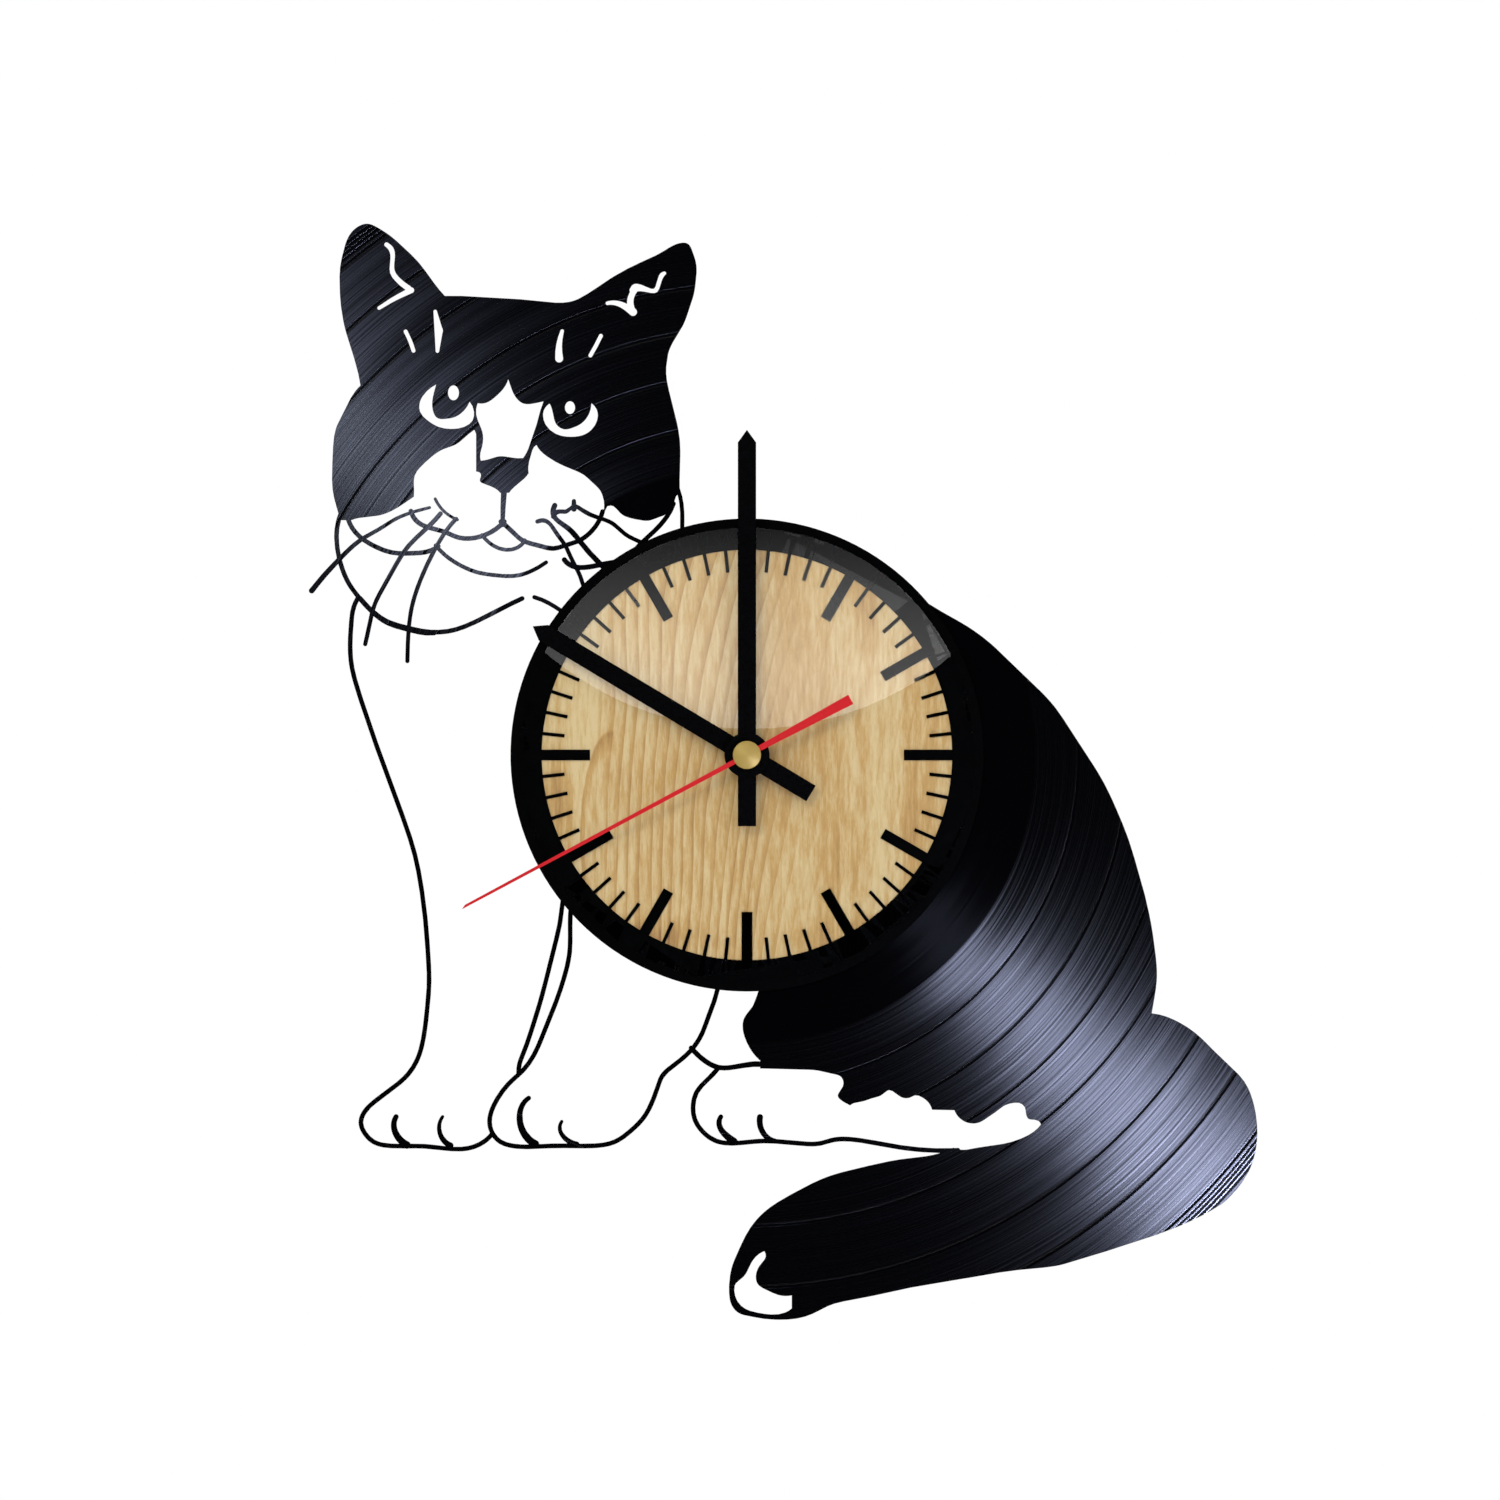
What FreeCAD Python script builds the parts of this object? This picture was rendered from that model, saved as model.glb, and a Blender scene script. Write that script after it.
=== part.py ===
import FreeCAD, Part
import math
import os
import re

import Sketcher

# Wall clock cut from a long-playing record, with a quartz movement behind it.
#
# Frame: +Z up, +X to the right seen from the front, the front faces -Y. The
# origin is on the hands' axis, in the plane of the wall. "Depth" is the
# distance in front of the wall, so a piece at depth d lies at y = -d. Flat
# pieces are drawn as seen from the front, x to the right and z up.
# Angles run anticlockwise from +X, seen from the front.

Vector = FreeCAD.Vector

# Driving dimensions, in millimetres, degrees or teeth.
SIZES = {
    # the record
    "record_dia": 301.3,
    "record_thick": 1.8,
    "spindle_clearance": 0.24,
    "web_width": 1.1,
    # the dial
    "dial_dia": 108.8,
    "ring_width": 7.2,
    "wood_inset": 0.6,
    "wood_thick": 0.6,
    "marker_thick": 0.4,
    "bar_length": 11.1,
    "bar_width": 2.45,
    "tick_length": 5.0,
    "tick_width": 0.78,
    "mark_root": 0.5,
    "glass_inset": 2.0,
    "glass_thick": 1.0,
    # washers and nut
    "rubber_dia": 20.0,
    "rubber_thick": 1.0,
    "washer_rim": 1.5,
    "washer_thick": 0.5,
    "nut_wall": 1.0,
    "nut_thick": 2.0,
    "bush_proud": 0.2,
    # hands
    "hand_width": 4.2,
    "hand_thick": 0.5,
    "hand_point": 2.9,
    "hub_dia": 10.4,
    "minute_reach": 74.8,
    "minute_tail": 16.4,
    "hour_reach": 57.5,
    "hour_tail": 17.2,
    "collet_dia": 6.4,
    "collet_rise": 0.4,
    "second_reach": 74.6,
    "second_tail": 27.1,
    "second_root": 1.15,
    "second_tip": 0.6,
    "second_tail_width": 2.45,
    "second_thick": 0.3,
    "second_tube_dia": 2.0,
    "cap_dia": 6.5,
    "cap_height": 1.3,
    "cap_crown": 0.585,
    "minute_angle": 90.0,
    "hour_angle": 149.0,
    "second_angle": 208.2,
    # gaps between pieces that turn and their neighbours
    "running_gap": 0.06,
    "hand_gap": 0.3,
    "end_gap": 0.2,
    "level_gap": 0.3,
    "press_gap": 0.02,
    # shafts
    "seconds_dia": 1.0,
    "minute_dia": 3.2,
    "hour_dia": 5.0,
    "bush_dia": 7.0,
    "pivot_dia": 0.6,
    "arbor_dia": 0.8,
    # movement case
    "case_corner": 4.0,
    "case_wall": 1.2,
    "front_wall": 1.0,
    "back_thick": 1.6,
    "rib_thick": 1.0,
    "post_dia": 3.8,
    "post_inset": 4.8,
    "post_gap": 0.2,
    "train_room": 10.5,
    "standoff_dia": 2.6,
    "board_foot_dia": 2.0,
    "board_foot_inset": 2.2,
    "foot_left": -17.8,
    "foot_right": 18.4,
    "foot_low": -6.0,
    "foot_middle_x": -0.7,
    "foot_middle_z": 13.6,
    "foot_far_x": 19.4,
    "foot_far_z": 12.6,
    "foot_margin": 1.5,
    "screw_dia": 1.7,
    "screw_head": 3.4,
    "screw_head_thick": 0.8,
    "screw_length": 6.0,
    "screw_sink": 0.1,
    "slot_width": 0.44,
    "slot_depth": 0.45,
    "thread_gap": 0.03,
    "head_gap": 0.2,
    # hanger
    "hanger_width": 20.0,
    "hanger_sheet": 0.8,
    "hanger_low": -9.0,
    "hanger_gap": 0.6,
    "hanger_rise": 11.6,
    "nail_hole": 5.0,
    "nail_rise": 6.6,
    # battery and its contacts
    "battery_dia": 14.5,
    "battery_length": 50.5,
    "battery_nub": 1.3,
    "nub_dia": 5.5,
    "sleeve_thick": 0.1,
    "sleeve_inset": 0.4,
    "battery_gap": 0.25,
    "bay_gap": 0.4,
    "bay_edge": 0.2,
    "contact_room": 1.55,
    "contact_sheet": 0.3,
    "contact_strip": 3.0,
    "contact_gap": 0.15,
    "contact_slack": 0.1,
    "contact_land": 1.2,
    "contact_pad": 8.0,
    "leaf_width": 6.0,
    "leaf_span": 7.0,
    "leaf_flat": 2.0,
    # depths of the wheels, each the back face of its rim
    "wheel_thick": 0.7,
    "intermediate_depth": 5.1,
    "seconds_depth": 6.6,
    "third_depth": 8.1,
    "centre_depth": 9.6,
    "plate_depth": 10.8,
    "plate_thick": 0.8,
    "minute_work_depth": 12.1,
    "hour_depth": 13.4,
    "boss_dia": 3.2,
    "boss_height": 1.8,
    "pivot_depth": 1.5,
    "hour_rim": 1.0,
    "hour_room": 0.6,
    "hub_rim": 0.9,
    # gears
    "rotor_teeth": 10,
    "intermediate_teeth": 50,
    "intermediate_pinion": 10,
    "seconds_teeth": 60,
    "seconds_pinion": 10,
    "third_teeth": 75,
    "third_pinion": 10,
    "centre_teeth": 80,
    "minute_pinion": 12,
    "minute_work_teeth": 36,
    "minute_work_pinion": 10,
    "hour_teeth": 40,
    "knob_teeth": 12,
    "rotor_spacing": 7.5,
    "intermediate_spacing": 8.75,
    "third_spacing": 8.5,
    "minute_work_spacing": 9.6,
    "third_way": 0.0,
    "intermediate_way": 135.0,
    "rotor_way": 135.0,
    "minute_work_way": 45.0,
    "knob_way": 0.0,
    "pressure_angle": 30.0,
    "tooth_rise": 0.8,
    "tooth_drop": 1.1,
    "tooth_share": 0.45,
    # stepping motor
    "magnet_dia": 6.0,
    "magnet_thick": 2.6,
    "magnet_gap": 0.4,
    "stator_thick": 1.0,
    "stator_depth": 8.0,
    "stator_width": 19.0,
    "stator_arm": 2.8,
    "coil_z": 20.5,
    "coil_dia": 6.6,
    "flange_side": 7.2,
    "flange_thick": 0.8,
    "core_width": 3.0,
    "core_gap": 0.03,
    "coil_wrap": 2.2,
    "yoke_rim": 0.9,
    "notch_dia": 0.7,
    "peg_dia": 1.6,
    "peg_shoulder": 2.6,
    "peg_proud": 0.6,
    "peg_inset": 2.0,
    "peg_drop": 2.4,
    # electronics
    "board_depth": 12.6,
    "board_thick": 0.8,
    "board_left": -1.0,
    "board_right": 20.6,
    "board_low": 15.4,
    "board_high": 25.8,
    "chip_dia": 5.2,
    "chip_height": 0.9,
    "crystal_dia": 2.0,
    "crystal_length": 6.0,
    "crystal_inset": 1.2,
    "crystal_lift": 0.1,
    "chip_inset": 10.0,
    "lead_side": 0.3,
    "lead_spread": 0.8,
    "lead_reach": 1.2,
    # set knob
    "knob_dia": 11.0,
    "knob_thick": 3.0,
    "knob_inset": 0.4,
    "knob_clearance": 0.4,
    "knob_arbor": 2.4,
    "knob_grooves": 24,
    "knob_groove_dia": 0.7,
    "knob_dish": 1.6,
    "knob_bar": 2.0,
    "knob_rim": 1.0,
    "knob_boss_height": 1.4,
    "knob_boss_floor": 0.3,
}

doc = FreeCAD.newDocument("cat_clock")
sheet = doc.addObject("Spreadsheet::Sheet", "Sizes")
for row, (alias, number) in enumerate(SIZES.items(), start=1):
    sheet.set(f"A{row}", alias)
    sheet.set(f"B{row}", str(number))
    sheet.setAlias(f"B{row}", alias)
doc.recompute()

# Formulas made of the sheet's names. Each is used as an expression and, where
# a shape is computed, as a number.
# The movement's case takes the longer of the cell's length and what the train
# and the cell need side by side; its depth takes the thicker of the two.
CASE_HALF = (
    "max(battery_length / 2 + contact_room + case_wall;"
    " train_room + rib_thick + 2 * bay_gap + battery_dia + case_wall)"
)
CASE_DEPTH = (
    "max(2 * battery_gap + battery_dia + front_wall;"
    " hour_depth + hour_rim + hour_room + front_wall)"
)
INNER_HALF = f"({CASE_HALF} - case_wall)"
WALL_INSIDE = f"({CASE_DEPTH} - front_wall)"
SPINDLE_HOLE = "(bush_dia + spindle_clearance)"
DIAL_OPENING = "(dial_dia - 2 * ring_width)"
NUT_FLATS = "(bush_dia + 2 * nut_wall)"
SHELF = f"({CASE_HALF} + hanger_gap)"
SHELF_TOP = f"({SHELF} + hanger_sheet)"
RUBBER_BACK = f"({CASE_DEPTH} + hanger_sheet)"
RECORD_BACK = f"({RUBBER_BACK} + rubber_thick)"
WOOD_BACK = f"({RECORD_BACK} + record_thick)"
MARKER_BACK = f"({WOOD_BACK} + wood_thick)"
GLASS_BACK = f"({MARKER_BACK} + marker_thick)"
WASHER_BACK = f"({GLASS_BACK} + glass_thick)"
NUT_BACK = f"({WASHER_BACK} + washer_thick)"
BUSH_END = f"({NUT_BACK} + nut_thick + bush_proud)"
HOUR_COLLET_BACK = f"({BUSH_END} + hand_gap)"
HOUR_HAND_BACK = f"({HOUR_COLLET_BACK} + collet_rise)"
HOUR_END = f"({HOUR_HAND_BACK} + hand_thick + collet_rise)"
MINUTE_COLLET_BACK = f"({HOUR_END} + hand_gap)"
MINUTE_HAND_BACK = f"({MINUTE_COLLET_BACK} + collet_rise)"
MINUTE_END = f"({MINUTE_HAND_BACK} + hand_thick + collet_rise)"
SECOND_TUBE_BACK = f"({MINUTE_END} + hand_gap)"
SECOND_HAND_BACK = f"({SECOND_TUBE_BACK} + hand_gap)"
SECOND_END = f"({SECOND_HAND_BACK} + second_thick + cap_height - level_gap)"
CAP_BACK = f"({SECOND_HAND_BACK} + second_thick)"
BATTERY_DEPTH = f"({WALL_INSIDE} - battery_gap - battery_dia / 2)"
RIB_LOW = "(-train_room - rib_thick)"
BATTERY_Z = f"({RIB_LOW} - bay_gap - battery_dia / 2)"
BAY_LOW = f"({BATTERY_Z} - battery_dia / 2 - bay_edge)"
THIRD_X = "(third_spacing * cos(third_way * 1deg))"
THIRD_Z = "(third_spacing * sin(third_way * 1deg))"
INTERMEDIATE_X = "(intermediate_spacing * cos(intermediate_way * 1deg))"
INTERMEDIATE_Z = "(intermediate_spacing * sin(intermediate_way * 1deg))"
ROTOR_X = f"({INTERMEDIATE_X} + rotor_spacing * cos(rotor_way * 1deg))"
ROTOR_Z = f"({INTERMEDIATE_Z} + rotor_spacing * sin(rotor_way * 1deg))"
MINUTE_WORK_X = "(minute_work_spacing * cos(minute_work_way * 1deg))"
MINUTE_WORK_Z = "(minute_work_spacing * sin(minute_work_way * 1deg))"
KNOB_X = f"({MINUTE_WORK_X} + minute_work_spacing * cos(knob_way * 1deg))"
KNOB_Z = f"({MINUTE_WORK_Z} + minute_work_spacing * sin(knob_way * 1deg))"
BOSS_TOP = "(back_thick + boss_height)"
PIVOT_BACK = f"({BOSS_TOP} - pivot_depth + end_gap)"
SHOULDER = f"({BOSS_TOP} + end_gap)"
PLATE_FRONT = "(plate_depth + plate_thick)"
POST_X = f"({CASE_HALF} - post_inset)"
POST_LOW = f"({RIB_LOW} + rib_thick + post_dia / 2 + post_gap)"
STATOR_PEGS = [(f"{ROTOR_X} - stator_width / 2 + peg_inset", f"{ROTOR_Z} - peg_drop"),
               (f"{ROTOR_X} + stator_width / 2 - peg_inset", f"{ROTOR_Z} + peg_drop")]
PLATE_FEET = [("foot_left", "foot_low"), ("foot_right", "foot_low"),
              ("foot_middle_x", "foot_middle_z"), ("foot_far_x", "foot_far_z")]
BEARINGS = [("0", "0"), (THIRD_X, THIRD_Z), (INTERMEDIATE_X, INTERMEDIATE_Z), (ROTOR_X, ROTOR_Z)]
CORNERS = [(f"-{POST_X}", POST_LOW), (POST_X, POST_LOW), (f"-{POST_X}", POST_X), (POST_X, POST_X)]


def formula(text):
    """The text as an expression that names cells of the sheet."""
    return re.sub(
        r"[a-z]\w+",
        lambda found: f"Sizes.{found.group()}" if found.group() in SIZES else found.group(),
        text,
    )


def value(text):
    """The number that a formula gives."""
    found = sheet.evalExpression(formula(text))
    return float(getattr(found, "Value", found))


def bind(item, path, text):
    item.setExpression(path, formula(text))


# ---------------------------------------------------------------- drawing aids


def start_body(label):
    body = doc.addObject("PartDesign::Body", label)
    body.Label = label
    return body


def start_sketch(body, depth, role="XZ_Plane"):
    """A sketch at a depth in front of the wall (or a distance along -Y, X or Z)."""
    plane = next(item for item in body.Origin.OriginFeatures if item.Role == role)
    sketch = body.newObject("Sketcher::SketchObject", body.Label + "_sketch")
    sketch.AttachmentSupport = [(plane, "")]
    sketch.MapMode = "FlatFace"
    bind(sketch, "AttachmentOffset.Base.z", depth)
    return sketch


def dimension(sketch, kind, places, text):
    number = sketch.addConstraint(Sketcher.Constraint(kind, *places, value(text)))
    bind(sketch, f"Constraints[{number}]", text)


def circle(sketch, radius, x="0", z="0"):
    centre = Vector(value(x), value(z), 0)
    shape = Part.Circle(centre, Vector(0, 0, 1), value(radius))
    index = sketch.addGeometry(shape)
    dimension(sketch, "Radius", (index,), radius)
    dimension(sketch, "DistanceX", (-1, 1, index, 3), x)
    dimension(sketch, "DistanceY", (-1, 1, index, 3), z)


def polygon(sketch, corners):
    """Straight sides through corners given as pairs of formulas."""
    points = [Vector(value(x), value(z), 0) for x, z in corners]
    count = len(points)
    first = sketch.GeometryCount
    for n in range(count):
        sketch.addGeometry(Part.LineSegment(points[n], points[(n + 1) % count]))
    for n in range(count):
        after = first + (n + 1) % count
        sketch.addConstraint(Sketcher.Constraint("Coincident", first + n, 2, after, 1))
    for n, (x, z) in enumerate(corners):
        dimension(sketch, "DistanceX", (-1, 1, first + n, 1), x)
        dimension(sketch, "DistanceY", (-1, 1, first + n, 1), z)


def rectangle(sketch, left, low, right, high):
    polygon(sketch, [(left, low), (right, low), (right, high), (left, high)])


def pad(body, sketch, length):
    feature = body.newObject("PartDesign::Pad", body.Label + "_pad")
    feature.Profile = sketch
    bind(feature, "Length", length)
    return feature


def pocket(body, sketch, length):
    """A pocket from the sketch towards the wall."""
    feature = body.newObject("PartDesign::Pocket", body.Label + "_pocket")
    feature.Profile = sketch
    bind(feature, "Length", length)
    return feature


def repeat_round(body, feature, count):
    """The feature repeated evenly round the hands' axis."""
    axis = next(item for item in body.Origin.OriginFeatures if item.Role == "Y_Axis")
    pattern = body.newObject("PartDesign::PolarPattern", body.Label + "_pattern")
    pattern.Originals = [feature]
    pattern.Axis = (axis, [""])
    pattern.Angle = 360
    pattern.Occurrences = count
    body.Tip = pattern
    doc.recompute()
    return pattern


def turned_disc(label, back, thick, radius, bore):
    """A flat disc or washer round the hands' axis."""
    body = start_body(label)
    sketch = start_sketch(body, back)
    circle(sketch, radius)
    circle(sketch, bore)
    pad(body, sketch, thick)
    return body


def flat_shape(label, shape):
    """A computed shape drawn in x and y with its depth along z, stood upright."""
    upright = FreeCAD.Placement(Vector(), FreeCAD.Rotation(Vector(1, 0, 0), 90))
    item = doc.addObject("Part::Feature", label)
    item.Label = label
    item.Shape = shape
    item.Placement = upright.multiply(shape.Placement)
    return item


def rod(x, z, back, front, radius):
    return Part.makeCylinder(radius, front - back, Vector(x, z, back))


def plate(left, low, back, right, high, front):
    return Part.makeBox(right - left, high - low, front - back, Vector(left, low, back))


# ---------------------------------------------------------------- the record

# The cat is drawn for a record 301.3 across. Each outline is a list of
# stretches: a stretch of two points is straight, a longer one is a smooth
# curve, and each stretch starts where the one before it ends.

DRAWN_RECORD = 301.3
# the round middle that the lines of the drawing run into
DRAWN_DISC = 108.8

HEAD = [
    # left cheek up to the ear
    [(-93.5, 54), (-94.4, 57), (-95.3, 61), (-95.4, 66), (-95.2, 71), (-94.4, 75.5), (-92.9, 78.5),
     (-91.2, 82), (-88.9, 85)],
    # left ear
    [(-89.6, 88.5), (-90.9, 93), (-92.3, 97.5), (-93.3, 102.5), (-93.7, 108), (-93.6, 112),
     (-92.8, 116), (-91.5, 119.5), (-89.7, 121.4), (-87.3, 122.2), (-84.9, 121.3), (-82, 119.4),
     (-78.8, 116.6), (-75.5, 113.3), (-72.5, 109.3), (-69.5, 105.6)],
    # crown
    [(-58, 105.2), (-47.5, 104.4), (-41, 104.2), (-38.8, 104.9)],
    # right ear
    [(-35.1, 107.1), (-31.4, 109.6), (-27.4, 111.9), (-23.4, 113.8), (-19.5, 115.7),
     (-16.3, 117.5), (-13.6, 117.6), (-12.4, 115.5), (-11.6, 112.5), (-11.7, 109.5), (-12.2, 106),
     (-13.2, 102.8), (-14.6, 99), (-16.4, 96), (-17.8, 93.3), (-18.3, 91)],
    # right cheek
    [(-18.3, 85.5), (-17.6, 82.5), (-16.6, 78.5), (-15.8, 75), (-15.4, 72), (-15.4, 66),
     (-15.4, 60.4)],
    [(-16.3, 59.5)],
    # under the right cheek
    [(-16.8, 58), (-17.8, 56.2), (-19.9, 54.8)],
    [(-21.2, 54.3), (-22.5, 53.9), (-24.5, 54), (-26.9, 54.5), (-29, 55.5), (-30.7, 57.2),
     (-32.1, 57.2)],
    [(-33.3, 54.8)],
    # right side of the muzzle
    [(-33.3, 59.9), (-33.8, 60.9), (-35.5, 62.6), (-37.5, 64.4), (-40, 65.6), (-43.8, 67.3),
     (-45.9, 68.6), (-47.8, 70.3), (-48.4, 71.3)],
    [(-49, 70.8), (-49.6, 69.2), (-50.1, 67.5), (-50.2, 64.8)],
    # nose
    [(-50.9, 63.9), (-52.6, 62.4), (-54.7, 60.3)],
    [(-56.8, 60.3)],
    [(-58.5, 61.6), (-60.3, 62.3), (-61.4, 63), (-61.2, 64.3), (-62.3, 65.2)],
    [(-62.3, 73.8)],
    [(-62.7, 74.8)],
    # left side of the muzzle
    [(-64.5, 73.4), (-67, 71.4), (-69.9, 70.3), (-73.1, 68.1), (-75.2, 66.1), (-76.4, 64.3),
     (-76.6, 62), (-76.6, 59.4)],
    [(-78.5, 58.1), (-81.4, 56.3), (-84.6, 55.1), (-89.3, 54.5), (-91, 54)],
    [(-93.5, 54)],
]

BLAZE = [
    [(-54.9, 86.4), (-54.3, 84.6), (-53.2, 82.3), (-51.6, 80.9), (-48.7, 80.9), (-46.8, 81.3)],
    [(-47.6, 79), (-48.4, 76), (-49.4, 73), (-50.4, 70.2), (-51.5, 68.3)],
    [(-54, 68.4), (-57, 68.7), (-59.5, 68), (-61.2, 67.7)],
    [(-61.3, 69.5), (-60.9, 71), (-60.9, 74.5), (-61.5, 76), (-61.9, 80.9)],
    [(-59.5, 81.2), (-57.6, 82.6), (-56.2, 84), (-54.9, 86.4)],
]

LEFT_EYE = [
    [(-71.5, 85.2), (-73.7, 83.6), (-75.3, 80.8), (-75.2, 79), (-73.5, 77), (-71, 75.5), (-68, 75),
     (-65, 75.5), (-63.1, 77), (-62.8, 79), (-63.8, 81.2)],
    [(-65, 79.3), (-67, 77.8), (-69.2, 77.3), (-71.2, 77.5), (-72.3, 79.5), (-72.3, 82),
     (-71.5, 85.2)],
]

RIGHT_EYE = [
    [(-45.4, 80.8), (-46.9, 78.3), (-46.3, 76), (-44, 73.9), (-40.5, 73.2), (-37, 73.9),
     (-35, 75.8), (-34.3, 78), (-35.8, 80.9)],
    [(-36.3, 78.5), (-38, 76.3), (-40.2, 75.2), (-42, 74.9), (-43.8, 76), (-44.6, 78.4),
     (-45.4, 80.8)],
]

TAIL_GAP = [
    [(4, -114.1), (4.3, -115.4), (2.8, -117.6), (2.5, -121.7), (4.6, -123.1), (7.2, -124.2),
     (10.3, -124.3)],
    [(10.3, -127.3)],
    [(8.8, -128.2), (2.2, -128.2), (-0.3, -127.4), (-2.2, -125.6), (-2.9, -123.2), (-2.8, -122),
     (-0.8, -120), (0.9, -117), (4, -114.1)],
]

BODY_AND_TAIL = [
    # back and haunch
    [(41.5, 35), (45.3, 32.7), (50.7, 29.6), (56, 25.7), (61.3, 20.7), (66.3, 15.9), (70.7, 11.2),
     (74.7, 5.3), (78.3, -0.2), (82, -6.2), (85, -12.5), (87.7, -19.2), (89.8, -26),
     (91.6, -32.5), (93, -39), (94, -46), (94.3, -51), (93.7, -56), (93.1, -59.4)],
    # outer curl of the tail
    [(96.3, -60.1), (99.8, -61.7), (103.1, -63.9), (107.2, -67.8), (111, -71.5), (114.4, -75.1),
     (116.2, -79), (117.1, -83), (117.4, -87), (116.9, -91.5), (115.4, -95.8)],
    # along the record's own rim
    [(112.5, -100.1), (109.2, -103.3)],
    # underside of the tail to its tip
    [(104.9, -105.8), (99.8, -108.2), (93.8, -110.5), (88.3, -112.3), (82.8, -114.1),
     (77.2, -115.8), (71.7, -117.4), (65, -118.2), (58.3, -119), (50.8, -120.3), (44.3, -121.3),
     (38.2, -122.4), (30.4, -124.1), (23.8, -125.4), (19, -126.6), (15.2, -128.5),
     (11.6, -129.6), (7.5, -129.9), (4, -129.7), (0.6, -129.1), (-1.8, -128.4), (-3.5, -126.6),
     (-4.1, -124), (-4, -120.5), (-3.4, -117.5), (-2.1, -114.3), (-0.3, -110.5), (1.6, -107.6),
     (4.2, -104.9), (7.3, -102.7), (12.1, -100), (18.2, -97.1), (23.6, -95.5), (29.1, -94.2),
     (35.2, -93), (41, -92.3), (44.6, -91.5)],
    # top of the tail, back towards the haunch
    [(47.5, -90.3)],
    [(50, -90.8), (52.5, -90.4), (56.5, -89.8), (60, -89.2), (63.3, -88.1), (66, -86.6),
     (67.6, -85)],
    # ragged lower edge of the haunch
    [(66.2, -83.9), (64.8, -83.7), (64.1, -82), (63.9, -81), (62.5, -80), (61.5, -80),
     (59.5, -80.5), (57.5, -81.9), (55.2, -83.5), (53.5, -84.5), (50.5, -84.5), (49, -83.6),
     (47.7, -81.7)],
    [(42.6, -81.6)],
    [(41.8, -80), (40.2, -78.7), (38.6, -78.3), (37.5, -78.8), (35.5, -78.7), (34.2, -77.8),
     (32.7, -77.1), (31, -78.2), (29, -78.9), (26.5, -79.7), (24.5, -80.1), (23.7, -80.6)],
    [(22.4, -79.9), (20.9, -78.3), (21.6, -77), (22.2, -75.5), (21.7, -74.1), (19.5, -73.3),
     (17, -72.7), (14.3, -72.4)],
    [(3, -72.1)],
    [(3.1, -70.4)],
    # front of the haunch
    [(1, -68), (-0.1, -66), (-0.9, -63.5), (-0.8, -60.9), (0.2, -59.2), (1.4, -57.6),
     (2.1, -55.8), (2.6, -54.4)],
    # closed behind the dial
    [(6, -42)],
    [(22, -10)],
    [(32, 18)],
    [(41.5, 35)],
]

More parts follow.
